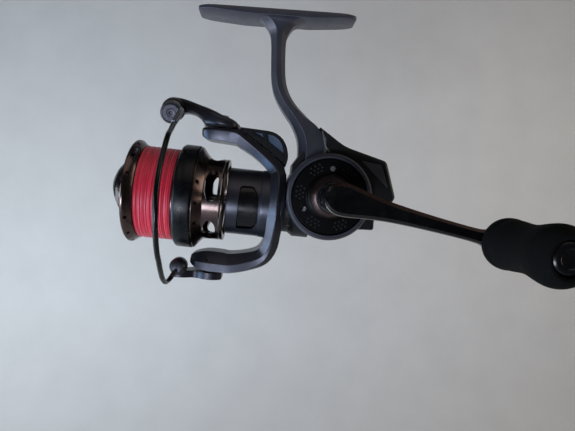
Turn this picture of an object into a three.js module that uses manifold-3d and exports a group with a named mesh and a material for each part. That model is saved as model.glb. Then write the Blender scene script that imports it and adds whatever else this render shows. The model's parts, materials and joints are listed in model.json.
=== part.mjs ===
// Front-drag spinning reel, in millimetres.
//
// Working frame: X runs along the main shaft from the spool (front, -X) to the body (rear, +X), Y runs away
// from the handle, and Z points up to the rod foot. x = 0 is the drive shaft and z = 0 the main shaft. At the
// end the whole group is moved so that its origin is the middle of the foot's seat, which touches the rod.
import * as THREE from 'three';
import { mergeVertices } from 'three/addons/utils/BufferGeometryUtils.js';
import Module from 'manifold-3d';

const wasm = await Module();
wasm.setup();

const degrees = (angle) => (angle * Math.PI) / 180;

// ---- Driving dimensions -------------------------------------------------------------------------------

const GAP = 0.3;              // clearance between pieces that touch or run on each other
const SEAT = { x: -28, z: 79.7, tilt: degrees(3.5) };       // the foot leans away from the main shaft
const FOOT = { length: 65, width: 14.6, thickness: 2.8, edge: 1.4 };
const DRIVE_Z = 6.2;          // the drive shaft lies this far above the main shaft
const DRUM = { radius: 17.5, wall: 2.9, near: -16.5, far: 14.5 };
const TAIL_HALF = 8.6;        // half width of the body behind the drum
const NOSE = { radius: 11, front: -24 };
const SHAFT_R = 2;
const SHAFT_REAR = 7.7;
const STROKE = 12;            // travel of the spool along the main shaft

const LIP = { front: -80.5, rear: -76.5, radius: 21.5 };
const SKIRT = { front: -61.1, rear: -53.4, radius: 21.7 };
const LINE_R = 19.3;
const SKELETON = { radius: 17.2, inner: 14.8, rear: -41.6, windows: 5, phase: 0.22 };   // phase in windows

const CUP = { front: -41.1, radius: 14.1, inner: 12.5 };
const REAR_EDGE = -17.5;      // the back of the rotor
const BAIL_X = -47;           // the bail turns about a vertical line through the arm tips
const ROLLER = { cap: [-66.4, -10, 32.7], boss: [-67.9, 2, 36.2] };

const GEAR = { teeth: 30, outer: 12.6, inner: 9.3, face: -3.8, depth: 1.3 };
const PINION = { teeth: 5, tip: 3.6 };
const OSC = { driver: 12, driven: 24, module: 0.7, x: 11.8, crank: STROKE / 2, near: 5, far: 7 };

const COVER_SCREWS = { circle: 11.35, angles: [90, 210, 330] };
const COLLAR_NEAR = -22.6;    // outer end of the collar on the cover
const ARM_FACE = -43.7;       // outer face of the handle arm at the shaft
const KNOB = { x: 54.9, z: -2.4, near: -48.2, far: -81 };

// ---- Materials ----------------------------------------------------------------------------------------

const paint = (color, roughness, metalness) => new THREE.MeshStandardMaterial({ color, roughness, metalness });
const MATERIAL = {
  body: paint(0x3d3f47, 0.42, 0.7),
  rotor: paint(0x2c2f38, 0.4, 0.6),
  black: paint(0x0c0c0e, 0.35, 0.1),
  gloss: paint(0x08080a, 0.15, 0.2),
  bronze: paint(0x5a4a44, 0.3, 0.95),
  steel: paint(0x9a9ca0, 0.3, 1.0),
  brass: paint(0x9c7a3c, 0.35, 1.0),
  grip: paint(0x1a1a1b, 0.9, 0.0),
  line: paint(0xc23a55, 0.7, 0.0),
  washer: paint(0x303030, 0.85, 0.0),
};

// ---- Making solids ------------------------------------------------------------------------------------

// Turns any closed geometry into a solid: welds it, drops collapsed faces and makes its faces point out.
function solid(geometry) {
  const bare = geometry.clone();
  bare.deleteAttribute('normal');
  bare.deleteAttribute('uv');
  const welded = mergeVertices(bare, 1e-4);
  const position = welded.attributes.position;
  const corner = (i) => new THREE.Vector3().fromBufferAttribute(position, i);
  const faces = [];
  let volume = 0;
  for (let i = 0; i < welded.index.count; i += 3) {
    const [a, b, c] = [0, 1, 2].map((k) => welded.index.getX(i + k));
    if (a === b || b === c || a === c) continue;
    faces.push([a, b, c]);
    volume += corner(a).dot(corner(b).cross(corner(c)));
  }
  const triVerts = new Uint32Array(faces.flatMap(([a, b, c]) => (volume < 0 ? [a, c, b] : [a, b, c])));
  const vertProperties = new Float32Array(position.array);
  return new wasm.Manifold(new wasm.Mesh({ numProp: 3, vertProperties, triVerts }));
}

function geometryOf(shape) {
  const mesh = shape.getMesh();
  const geometry = new THREE.BufferGeometry();
  geometry.setAttribute('position', new THREE.BufferAttribute(new Float32Array(mesh.vertProperties), 3));
  geometry.setIndex(new THREE.BufferAttribute(new Uint32Array(mesh.triVerts), 1));
  return geometry;
}

const union = (...shapes) => shapes.reduce((whole, shape) => whole.add(shape));
const cut = (whole, ...tools) => tools.reduce((rest, tool) => rest.subtract(tool), whole);

// A solid of revolution. The profile lists [along, radius] and starts and ends on the axis.
function turned(profile, { from = [0, 0, 0], along = [1, 0, 0], sides = 24 } = {}) {
  const points = profile.map(([distance, radius]) => new THREE.Vector2(radius, distance));
  const lathe = new THREE.LatheGeometry(points, sides);
  const turn = new THREE.Quaternion().setFromUnitVectors(
    new THREE.Vector3(0, 1, 0), new THREE.Vector3(...along).normalize());
  lathe.applyQuaternion(turn).translate(...from);
  return solid(lathe);
}

// A ring: the same with a bore through it, so its profile closes on itself.
const ring = (profile, place) => turned([...profile, profile[0]], place);

const rod = (from, to, radius, place) => turned([[from, 0], [from, radius], [to, radius], [to, 0]], place);

const tube = (from, to, inner, outer, place) =>
  ring([[from, inner], [from, outer], [to, outer], [to, inner]], place);

// A closed outline with rounded corners: each point is [x, y] or [x, y, radius].
function outline(points, steps) {
  return points.flatMap(([x, y, radius = 0], i) => {
    const here = new THREE.Vector2(x, y);
    if (!radius) return [here];
    const towards = (j) => {
      const next = points[(j + points.length) % points.length];
      const way = new THREE.Vector2(next[0], next[1]).sub(here);
      return here.clone().add(way.setLength(Math.min(radius, way.length() * 0.49)));
    };
    return new THREE.QuadraticBezierCurve(towards(i - 1), here, towards(i + 1)).getPoints(steps);
  });
}

function extruded(points, depth, bevel = 0, steps = 4) {
  return new THREE.ExtrudeGeometry(new THREE.Shape(outline(points, steps)), {
    depth: depth - 2 * bevel, bevelEnabled: bevel > 0, bevelThickness: bevel, bevelSize: bevel,
    bevelOffset: -bevel, bevelSegments: 1,
  }).translate(0, 0, bevel);
}

// A slab with an outline in x and z, from y = near to y = far.
function slabY(points, near, far, { bevel, steps } = {}) {
  return solid(extruded(points, far - near, bevel, steps).rotateX(Math.PI / 2).translate(0, far, 0));
}

// A slab with an outline in x and y, from z = low to z = high.
function slabZ(points, low, high, { bevel, steps } = {}) {
  return solid(extruded(points, high - low, bevel, steps).translate(0, 0, low));
}

// A skin over rings of equally many points, each ring a list of [x, y, z], closed by a fan at each end.
function loft(rings) {
  const count = rings[0].length;
  const position = rings.flat(2);
  const index = [];
  for (let r = 0; r + 1 < rings.length; r++)
    for (let i = 0; i < count; i++) {
      const [a, b] = [r * count + i, r * count + ((i + 1) % count)];
      index.push(a, b, b + count, a, b + count, a + count);
    }
  const close = (r, reverse) => {
    const middle = position.length / 3;
    position.push(...[0, 1, 2].map((k) => rings[r].reduce((sum, p) => sum + p[k], 0) / count));
    for (let i = 0; i < count; i++) {
      const [a, b] = [r * count + i, r * count + ((i + 1) % count)];
      index.push(...(reverse ? [middle, b, a] : [middle, a, b]));
    }
  };
  close(0, true);
  close(rings.length - 1, false);
  const geometry = new THREE.BufferGeometry();
  geometry.setAttribute('position', new THREE.Float32BufferAttribute(position, 3));
  geometry.setIndex(index);
  return solid(geometry);
}

// A six-sided nut along X with a bore through it.
function hexNut(from, length, corner, bore, bevel = 0) {
  const hexagon = Array.from({ length: 6 }, (_, i) =>
    [corner * Math.cos((i * Math.PI) / 3), corner * Math.sin((i * Math.PI) / 3)]);
  const nut = solid(extruded(hexagon, length, bevel).rotateY(Math.PI / 2).translate(from, 0, 0));
  return cut(nut, rod(from - 1, from + length + 1, bore, { sides: 20 }));
}

// A round bar along a smooth curve.
function bar(points, radius, steps, sides = 8) {
  const section = new THREE.Shape();
  section.absarc(0, 0, radius, 0, 2 * Math.PI);
  const path = new THREE.CatmullRomCurve3(points.map((p) => new THREE.Vector3(...p)), false, 'centripetal');
  return solid(new THREE.ExtrudeGeometry(section, { steps, extrudePath: path, curveSegments: sides / 2 }));
}

const Y_AXIS = (x, z) => ({ from: [x, 0, z], along: [0, 1, 0] });
const Z_AXIS = (x, y) => ({ from: [x, y, 0], along: [0, 0, 1] });
const DRIVE = Y_AXIS(0, DRIVE_Z);

const group = new THREE.Group();
function add(name, material, shape) {
  const mesh = new THREE.Mesh(geometryOf(shape), MATERIAL[material]);
  mesh.name = name;
  group.add(mesh);
}

// ---- Fixed body ---------------------------------------------------------------------------------------

function foot() {
  const half = FOOT.length / 2;
  const plan = slabZ([[-half, -5, 4], [-half + 6, -FOOT.width / 2, 4], [half - 6, -FOOT.width / 2, 4],
    [half, -5, 4], [half, 5, 4], [half - 6, FOOT.width / 2, 4], [-half + 6, FOOT.width / 2, 4], [-half, 5, 4]],
  -FOOT.thickness - 1, 0, { steps: 3 });
  const side = slabY([[-half - 1, 1], [half + 1, 1], [half + 1, -FOOT.edge], [14, -FOOT.thickness],
    [-16, -FOOT.thickness], [-half - 1, -FOOT.edge]], -FOOT.width, FOOT.width);
  const flat = geometryOf(plan.intersect(side));
  return solid(flat.rotateY(-SEAT.tilt).translate(SEAT.x, 0, SEAT.z));
}

// The leg from the foot down to the drum: [z, front x, rear x, half width], with bevelled long edges.
const LEG = [
  [77.6, -38.5, -15.5, 6.2], [76.4, -35.0, -19.0, 6.0], [74.8, -32.6, -21.3, 5.8], [72.2, -30.7, -22.8, 5.6],
  [68.5, -29.7, -23.6, 5.4], [60.0, -28.9, -23.0, 5.4], [53.0, -28.1, -22.0, 5.6], [48.0, -26.8, -20.2, 6.0],
  [43.5, -24.5, -17.0, 6.6], [38.5, -20.7, -11.4, 7.4], [34.6, -17.5, -6.6, 8.0], [30.0, -14.8, -4.3, 8.6],
  [26.0, -13.7, -4.0, 9.0], [20.0, -13.4, -4.0, 9.2], [14.0, -13.4, -4.0, 9.2],
];

function leg() {
  const level = ([z, front, rear, half]) => {
    const slope = Math.min(3, (rear - front) * 0.34);
    const behind = Math.min(2.2, (rear - front) * 0.3);
    const edge = half * 0.42;
    const right = [[front, edge], [front + slope, half], [rear - behind, half], [rear, edge]];
    const left = right.map(([x, y]) => [x, -y]).reverse();
    return [...right, ...left].map(([x, y]) => [x, y, z]);
  };
  return loft(LEG.map(level));
}

const TAIL = [[-15.6, -7.9], [21.2, -5.8, 1], [21.0, -1.5, 1], [25.8, 6.4, 1.5], [21.8, 20.8, 2], [6, 24.8, 2],
  [-12, 24, 2], [-15.6, 18]];
const TAIL_CAVITY = [[5, -4.8], [20, -4.8], [20, -1.1], [24, 6.8, 1], [20.4, 19.4, 1], [5, 21.8]];

const screwSpots = COVER_SCREWS.angles.map((angle) => [
  COVER_SCREWS.circle * Math.cos(degrees(angle)), DRIVE_Z + COVER_SCREWS.circle * Math.sin(degrees(angle))]);

function bodyFrame() {
  const drum = turned([[DRUM.near, 0], [DRUM.near, 16.5], [DRUM.near + 1.2, DRUM.radius],
    [DRUM.far - 1.5, DRUM.radius], [DRUM.far, 15.8], [DRUM.far, 9.2], [18.4, 8.6], [18.4, 0]],
  { ...DRIVE, sides: 40 });
  const tail = slabY(TAIL, -TAIL_HALF, TAIL_HALF, { bevel: 0.6, steps: 2 });
  const nose = turned([[NOSE.front, 0], [NOSE.front, NOSE.radius - 0.5], [NOSE.front + 0.5, NOSE.radius],
    [-14.6, NOSE.radius], [-12.5, 12.5], [-6, 12.5], [-6, 0]]);
  const outside = union(foot(), leg(), drum, tail, nose);
  const cavity = DRUM.radius - DRUM.wall;
  const bosses = screwSpots.map(([x, z]) => rod(-13.6, -9.4, 3.4, { ...Y_AXIS(x, z), sides: 14 }));
  const hollow = cut(union(
    rod(-20, -13.6, 15.5, { ...DRIVE, sides: 40 }),
    rod(-13.7, 12.2, cavity, { ...DRIVE, sides: 32 }),
    slabY(TAIL_CAVITY, -7.2, 7.4, { steps: 2 })), ...bosses);
  const noseBore = turned([[-26, 0], [-26, 9.1], [-17.9, 9.1], [-17.9, 7.2], [-13.8, 7.2], [-13.8, 4.4],
    [-6, 4.4], [-6, 0]]);
  // The rotor turns just in front of the drum, which is flattened there.
  const rotorRoom = tube(-30, REAR_EDGE + 0.35, NOSE.radius + 0.5, 19, { sides: 32 });
  const bearingSeat = union(rod(11, 16.4, 5.3, { ...DRIVE, sides: 20 }), rod(16, 19, 3.6, DRIVE));
  const threads = screwSpots.map(([x, z]) => rod(-20, -9.2, 1.05, { ...Y_AXIS(x, z), sides: 10 }));
  return cut(outside, hollow, noseBore, rotorRoom, bearingSeat, ...threads);
}

function sideCover() {
  const plate = ring([[-18.2, 3.6], [-18.2, 8.6], [-17.6, 9.1], [-16, 9.7], [-15.8, 15.0], [-15.5, 15.25],
    [-13.9, 15.25], [-13.9, 7.4], [-10.2, 7.4], [-10.2, 5.3], [-14.7, 5.3], [-14.7, 3.6]],
  { ...DRIVE, sides: 32 });
  const holes = screwSpots.map(([x, z]) =>
    turned([[-20, 0], [-20, 2.1], [-15.0, 2.1], [-14.3, 1.2], [-13, 1.2], [-13, 0]], { ...Y_AXIS(x, z), sides: 14 }));
  return cut(plate, ...holes);
}

// A pan-head screw along Y, its head at the near end, with a cross recess.
function screw(x, z, near, length, headRadius, shankRadius) {
  const place = { ...Y_AXIS(x, z), sides: 10 };
  const pin = turned([[near, 0], [near, headRadius * 0.7], [near + 0.35, headRadius], [near + 0.9, headRadius],
    [near + 0.9, shankRadius], [near + length, shankRadius], [near + length, 0]], place);
  const arm = headRadius * 0.62;
  const cross = [[[-arm, -0.22], [arm, -0.22], [arm, 0.22], [-arm, 0.22]],
    [[-0.22, -arm], [0.22, -arm], [0.22, arm], [-0.22, arm]]];
  return cut(pin, ...cross.map((points) =>
    slabY(points.map(([dx, dz]) => [x + dx, z + dz]), near - 1, near + 0.45)));
}

// The guard wraps the back of the body and closes against the leg: [x, z] of its outside.
const GUARD = [[-6, 34.1], [5, 27.4, 3], [23, 23.2, 1.5], [28.4, 8.6, 1.2], [22.4, -1.4, 2], [14, -1.4], [-3.6, 10],
  [-3.65, 26], [-3.95, 30]];
const GUARD_INSIDE = [[-1.8, 29.4], [6.2, 25.6, 2], [22.2, 21.5, 1.5], [26.5, 6.4, 1], [21.9, -1.8], [21.9, -6],
  [-8, -6], [-8, 25.4], [-1.8, 25.4]];
const GUARD_HALF = 10.6;
const INLAY = [[11.3, 22.9, 0.5], [20.9, 21.8, 0.7], [25.0, 11.8, 0.7]];

function rearGuard() {
  const outside = slabY(GUARD, -GUARD_HALF, GUARD_HALF, { bevel: 1 });
  const inside = slabY(GUARD_INSIDE, -TAIL_HALF - GAP, TAIL_HALF + GAP);
  const drumRoom = rod(-30, 30, DRUM.radius + GAP, { ...DRIVE, sides: 40 });
  const recesses = [[-20, -GUARD_HALF + 0.9], [GUARD_HALF - 0.9, 20]].map(([near, far]) =>
    slabY(INLAY, near, far));
  const screwHole = rod(20, 40, 1.3, { from: [0, 0, 14], along: [1, 0, 0], sides: 12 });
  return cut(outside, inside, drumRoom, ...recesses, screwHole);
}

function inlay(near, far) {
  const shrink = INLAY.map(([x, z, r]) => [20 + (x - 20) * 0.93, 18 + (z - 18) * 0.93, r]);
  return slabY(shrink, near, far);
}

// A ball bearing as one ring, with a step between its races on the outer side.
const bearing = (from, to, inner, outer, place) => {
  const middle = inner + (outer - inner) * 0.4;
  return ring([[from, inner], [from, middle], [from + 0.3, middle], [from + 0.3, outer], [to, outer],
    [to, inner]], { sides: 20, ...place });
};

function makeBody() {
  add('body_frame', 'body', bodyFrame());
  add('side_cover', 'black', sideCover());
  screwSpots.forEach(([x, z], i) => add(`cover_screw_${i + 1}`, 'steel', screw(x, z, -15.95, 5.6, 1.75, 0.9)));
  add('rear_guard', 'black', rearGuard());
  add('guard_inlay_near', 'body', inlay(-GUARD_HALF - 0.05, -GUARD_HALF + 0.65));
  add('guard_inlay_far', 'body', inlay(GUARD_HALF - 0.65, GUARD_HALF + 0.05));
  add('drive_bearing_near', 'steel', bearing(-14.4, -10.5, 3.08, 5.15, DRIVE));
  add('drive_bearing_far', 'steel', bearing(12.4, 16.1, 3.08, 5.15, DRIVE));
  add('pinion_bearing', 'steel', bearing(-17.6, -14.1, 3.5, 7.05));
  add('clutch_ring', 'steel', tube(-23.2, -18.2, 5.0, 8.9));
  add('clutch_retainer', 'body', tube(-25.1, -24.3, 5.3, 10.6));
  add('osc_gear_post', 'steel', rod(4.75, 7.1, 1.4, { ...Y_AXIS(OSC.x, oscZ), sides: 16 }));
  add('shaft_cap_far', 'black', turned([[18.8, 0], [18.8, 8.2], [20.6, 8.0], [22.4, 6.6], [23, 4], [23, 0]],
    DRIVE));
}

// ---- Drive: gears, shaft and handle -------------------------------------------------------------------

const oscReach = (OSC.module * (OSC.driver + OSC.driven)) / 2;
const oscZ = DRIVE_Z + Math.sqrt(oscReach ** 2 - OSC.x ** 2);

const ADDENDUM = 0.85;          // tooth height outside and inside the pitch circle, in modules
const DEDENDUM = 1.15;

// A spur gear's outline with straight-sided teeth and backlash. phase turns it, in teeth.
function gearOutline(x, z, teeth, module, phase) {
  const pitch = (module * teeth) / 2;
  const [root, tip] = [pitch - DEDENDUM * module, pitch + ADDENDUM * module];
  const levels = [[root, -0.34], [tip, -0.1], [tip, 0.1], [root, 0.34]];
  return Array.from({ length: teeth }, (_, tooth) => levels.map(([radius, part]) => {
    const angle = ((tooth + phase + part) / teeth) * 2 * Math.PI;
    return [x + radius * Math.cos(angle), z + radius * Math.sin(angle)];
  })).flat();
}

const meshAngle = Math.atan2(oscZ - DRIVE_Z, OSC.x);
// The driver shows a tooth to the driven gear, and the driven gear a space.
const driverPhase = (meshAngle / (2 * Math.PI)) * OSC.driver;
const drivenPhase = ((meshAngle + Math.PI) / (2 * Math.PI)) * OSC.driven + 0.5;

function driveGear() {
  const web = ring([[GEAR.face - 4.6, 3.1], [GEAR.face - 4.6, 6.4], [GEAR.face - 3.4, 8.2],
    [GEAR.face - 3.4, GEAR.outer - 0.4], [GEAR.face - 3, GEAR.outer], [GEAR.face - GEAR.depth, GEAR.outer],
    [GEAR.face - GEAR.depth, 3.1]], { ...DRIVE, sides: 20 });
  const pitch = (2 * Math.PI) / GEAR.teeth;
  const teeth = Array.from({ length: GEAR.teeth }, (_, i) => {
    const wedge = (radius, part, y) => {
      const angle = (i + part) * pitch;
      return [radius * Math.cos(angle), y, DRIVE_Z + radius * Math.sin(angle)];
    };
    const low = GEAR.face - GEAR.depth - 0.2;
    const section = (radius) => [wedge(radius, -0.3, low), wedge(radius, -0.14, GEAR.face),
      wedge(radius, 0.14, GEAR.face), wedge(radius, 0.3, low)];
    return loft([section(GEAR.inner), section(GEAR.outer - 0.15)]);
  });
  return union(web, ...teeth);
}

function driveShaft() {
  const shaft = turned([[-17.3, 0], [-17.3, 3], [17.2, 3], [17.2, 0]], { ...DRIVE, sides: 20 });
  const flat = slabY([[-5, DRIVE_Z + 2.6], [5, DRIVE_Z + 2.6], [5, DRIVE_Z + 5], [-5, DRIVE_Z + 5]], -9, 4);
  const pinion = slabY(gearOutline(0, DRIVE_Z, OSC.driver, OSC.module, driverPhase), OSC.near, OSC.far);
  return union(cut(shaft, flat), pinion);
}

// The handle arm runs from the shaft to the knob: [distance, half width, outer y, thickness].
const ARM = [
  [-5.55, 1.2, ARM_FACE + 1.2, 3.6], [-5.0, 2.7, ARM_FACE + 0.5, 5.4], [-3.8, 4.2, ARM_FACE, 6.4],
  [-1.9, 5.4, ARM_FACE, 6.6], [0.5, 5.75, ARM_FACE, 6.6], [3.5, 5.5, ARM_FACE, 6.6], [7.5, 4.8, -43.9, 6.4],
  [12, 4.1, -44.3, 6.0], [18, 3.4, -44.8, 5.6], [27, 2.85, -45.6, 5.0], [38, 2.5, -46.5, 4.6],
  [47.5, 2.5, -47.3, 4.2], [51.5, 3.4, -47.6, 4.0], [54.5, 4.0, -47.7, 4.0], [57.5, 3.7, -47.7, 4.0],
  [59.6, 2.2, -47.6, 3.6],
];
const ARM_ANGLE = Math.atan2(KNOB.z - DRIVE_Z, KNOB.x);

function alongArm(distance, side, y) {
  const [c, s] = [Math.cos(ARM_ANGLE), Math.sin(ARM_ANGLE)];
  return [distance * c - side * s, y, DRIVE_Z + distance * s + side * c];
}

// The sunk panel in the arm's outer face: [distance, half width, corner radius]. shrink keeps an inlay clear of
// the panel's sides; low and high are heights above its floor.
const ARM_PANEL = [[-3.1, 2.2, 1], [-1.6, 3.7, 2.6], [0.6, 4.3, 2], [7, 3.4, 3], [18, 2.2, 4], [36, 1.25, 2],
  [40.6, 1.1, 1]];
const PANEL_DEPTH = 0.55;
const PANEL_LEAN = Math.atan2(2.6, 36);   // the face falls away from the shaft to the knob

function armPanel(shrink, low, high) {
  const last = ARM_PANEL.length - 1;
  const side = ARM_PANEL.map(([distance, half, radius], i) =>
    [distance + (i === 0 ? shrink : i === last ? -shrink : 0), half - shrink, radius]);
  const other = side.map(([distance, half, radius]) => [distance, -half, radius]).reverse();
  const facing = new THREE.Matrix4().makeBasis(
    new THREE.Vector3(Math.cos(ARM_ANGLE), 0, Math.sin(ARM_ANGLE)),
    new THREE.Vector3(-Math.sin(ARM_ANGLE), 0, Math.cos(ARM_ANGLE)), new THREE.Vector3(0, -1, 0));
  return solid(geometryOf(slabZ([...side, ...other], low, high)).rotateY(-PANEL_LEAN)
    .translate(0, 0, -PANEL_DEPTH).applyMatrix4(facing).translate(0, ARM_FACE, DRIVE_Z));
}

function handleArm() {
  const stations = ARM.map(([distance, half, outer, thick]) => {
    const bevel = Math.min(1.3, half * 0.4);
    const [inner, mid] = [outer + thick, outer + bevel];
    const upper = [[half - bevel, outer], [half, mid], [half, inner - bevel], [half - bevel, inner]];
    const lower = upper.map(([side, y]) => [-side, y]).reverse();
    return [...upper, ...lower].map(([side, y]) => alongArm(distance, side, y));
  });
  const hub = turned([[-17.6, 0], [-17.6, 2.9], [COLLAR_NEAR - 0.4, 2.9], [COLLAR_NEAR - 0.4, 5.9], [-26, 5.9],
    [-28.5, 5.0], [-36, 4.9], [ARM_FACE + 5.4, 5.4], [ARM_FACE + 5.4, 0]], { ...DRIVE, sides: 20 });
  const postHole = rod(-60, -30, 2.2, { ...Y_AXIS(KNOB.x, KNOB.z), sides: 16 });
  return cut(union(loft(stations), hub), armPanel(0, 0, 8), postHole);
}

function makeDrive() {
  add('drive_gear', 'brass', driveGear());
  add('drive_shaft', 'steel', driveShaft());
  add('handle_collar', 'bronze', ring([[-18.6, 3.3], [-18.6, 8.3], [-19.4, 8.6], [-20.6, 8.0],
    [COLLAR_NEAR, 6.3], [COLLAR_NEAR, 3.3]], DRIVE));
  add('handle_arm', 'gloss', handleArm());
  add('arm_inlay', 'gloss', armPanel(GAP, 0.25, 0.6));
  add('knob_post', 'steel', turned([[-78.6, 0], [-78.6, 1.9], [-43.4, 1.9], [-43.4, 3.2], [-42.6, 2.9],
    [-42.6, 0]], { ...Y_AXIS(KNOB.x, KNOB.z), sides: 20 }));
}

function makeKnob() {
  const place = { ...Y_AXIS(KNOB.x, KNOB.z), sides: 20 };
  add('knob_sleeve', 'black', tube(-78.3, -48.5, 2.0, 4.0, { ...place, sides: 14 }));
  add('knob_grip', 'grip', ring([[KNOB.near, 4.3], [KNOB.near, 6.8], [-49.3, 8.1], [-51.6, 8.6], [-56, 8.2],
    [-63.5, 7.6], [-71, 8.5], [-75, 9.0], [-77.6, 8.6], [-79.6, 7.5], [KNOB.far, 6.2], [-80.6, 5.0],
    [-79, 5.0], [-79, 4.3]], place));
  add('knob_cap', 'gloss', turned([[-80.3, 0], [-80.3, 3.6], [-79.9, 4.6], [-79.3, 4.6], [-79.3, 3.2], [-78.9, 0]],
    place));
}

// ---- Oscillation: slider and main shaft ---------------------------------------------------------------

function makeOscillation() {
  const gear = slabY(gearOutline(OSC.x, oscZ, OSC.driven, OSC.module, drivenPhase), OSC.near, OSC.far);
  const pin = rod(4.2, 5.5, 1.1, { ...Y_AXIS(OSC.x - OSC.crank, oscZ), sides: 12 });
  const bore = rod(0, 10, 1.55, { ...Y_AXIS(OSC.x, oscZ), sides: 16 });
  add('osc_gear', 'brass', cut(union(gear, pin), bore));
}

function makeShaft() {
  const pinX = OSC.x - OSC.crank;
  const [low, high] = [oscZ - OSC.crank - 1.3, oscZ + OSC.crank + 1.3];
  const column = (half, bottom, top) =>
    [[pinX - half, bottom], [pinX + half, bottom], [pinX + half, top], [pinX - half, top]];
  const plate = slabY(column(1.9, -3, high + 0.9), 2.4, 3.9);
  const clamp = slabY(column(1.9, -3, 3), -3, 3.9);
  const slot = slabY(column(1.2, low, high), 0, 8);
  const bore = rod(0, 20, SHAFT_R + 0.08, { sides: 24 });
  add('slider', 'brass', cut(union(plate, clamp), slot, bore));
  add('main_shaft', 'steel', turned([[-84.6, 0], [-84.6, 1.7], [-84.2, SHAFT_R], [SHAFT_REAR, SHAFT_R], [SHAFT_REAR, 0]],
    { sides: 16 }));
  add('spool_washer', 'steel', tube(-56.7, -55.8, 2.1, 5.2, { sides: 14 }));
}

// ---- Spool --------------------------------------------------------------------------------------------

function spoolBody() {
  const rim = ring([
    [LIP.front, 20.8], [LIP.front + 0.6, LIP.radius], [LIP.front + 1.1, LIP.radius],
    [LIP.rear, LINE_R + 0.1], [LIP.rear, 12.8], [SKIRT.front - 0.4, 12.8], [SKIRT.front - 0.4, 19.8],
    [SKIRT.rear - 0.2, 19.8], [SKIRT.rear - 0.2, 21.4], [SKIRT.rear + 2.2, 18.4],
    [SKIRT.rear + 3, 17.3], [-43.4, SKELETON.radius], [-43.4, SKELETON.inner], [-57, SKELETON.inner],
    [-57, 2.3], [-72.2, 2.3], [-72.2, 11.2], [-78.6, 11.2],
  ], { sides: 32 });
  // Windows through the skirt, each a tapered slot between two struts.
  const halfWindow = Math.PI / SKELETON.windows;
  const windows = Array.from({ length: SKELETON.windows }, (_, i) => {
    const level = (radius) => [[-49.9, 0.3], [-47.9, 0.62], [-44.4, 0.4], [-44.4, -0.4], [-47.9, -0.62],
      [-49.9, -0.3]].map(([x, part]) => {
      const angle = ((i + SKELETON.phase) / SKELETON.windows) * 2 * Math.PI + part * halfWindow;
      return [x, radius * Math.cos(angle), radius * Math.sin(angle)];
    });
    return loft([level(13), level(19)]);
  });
  return cut(rim, ...windows);
}

function makeSpool() {
  add('spool', 'bronze', spoolBody());
  add('line_winding', 'line', ring([[LIP.rear + 0.3, 13.1], [LIP.rear + 0.3, LINE_R - 0.1],
    [LIP.rear + 1.2, LINE_R], [-70, LINE_R - 0.25], [SKIRT.front - 1.6, LINE_R - 0.1],
    [SKIRT.front - 0.8, LINE_R - 0.5], [SKIRT.front - 0.8, 13.1]], { sides: 32 }));
  add('skirt_band', 'gloss', ring([[SKIRT.front, 20.1], [SKIRT.front, 20.9], [SKIRT.front + 0.9, SKIRT.radius],
    [SKIRT.rear - 0.9, SKIRT.radius], [SKIRT.rear - 0.5, 21.4], [SKIRT.rear - 0.5, 20.1]], { sides: 32 }));
  add('skirt_ring', 'steel', ring([[-43.1, SKELETON.inner], [-43.1, 17.3], [-42.0, 17.3],
    [SKELETON.rear, 16.9], [SKELETON.rear, SKELETON.inner]], { sides: 32 }));
  add('line_clip', 'steel', slabY([[-58.6, -1.6, 0.5], [-55.6, -1.6, 0.5], [-55.6, 1.6, 0.5], [-58.6, 1.6, 0.5]],
    SKIRT.radius + 0.1, SKIRT.radius + 0.9));
  [-72.6, -74.2, -75.8].forEach((front, i) =>
    add(`drag_washer_${i + 1}`, 'washer', tube(front - 1.1, front, 2.4, 10.8, { sides: 16 })));
  add('drag_retainer', 'steel', tube(-77.5, -77.1, 8.6, 10.9, { sides: 16 }));
}

function makeDragKnob() {
  const dome = ring([[-78.9, 5.2], [-78.9, 11.4], [-80.4, 12.0], [-83.6, 12.0], [-85.2, 11.2], [-86.7, 9.3],
    [-87.9, 6.9], [-88.7, 3.6], [-88.9, 1.2], [-85.2, 1.2], [-85.2, 2.5], [-83.5, 2.5], [-83.5, 5.2]], { sides: 32 });
  // One side of the dome is a slanting flat for the thumb.
  const thumbFlat = slabY([[-88.7, 4.6], [-81.7, -12.4], [-95, -12.4], [-95, 4.6]], -15, 15);
  const grips = Array.from({ length: 8 }, (_, i) => {
    const angle = (i / 8) * 2 * Math.PI;
    return rod(-92, -80.8, 1.3, { from: [0, 13 * Math.cos(angle), 13 * Math.sin(angle)], sides: 8 });
  });
  add('drag_knob', 'black', cut(dome, thumbFlat, ...grips));
  add('drag_nut', 'brass', hexNut(-83.2, 2.4, 4.6, SHAFT_R + 0.15));
  const coil = Array.from({ length: 17 }, (_, i) => {
    const angle = (i / 8) * 2 * Math.PI;
    return [-80.4 + i * 0.11, 3.6 * Math.cos(angle), 3.6 * Math.sin(angle)];
  });
  add('drag_spring', 'steel', bar(coil, 0.28, 24, 6));
}

// ---- Rotor --------------------------------------------------------------------------------------------

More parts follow.
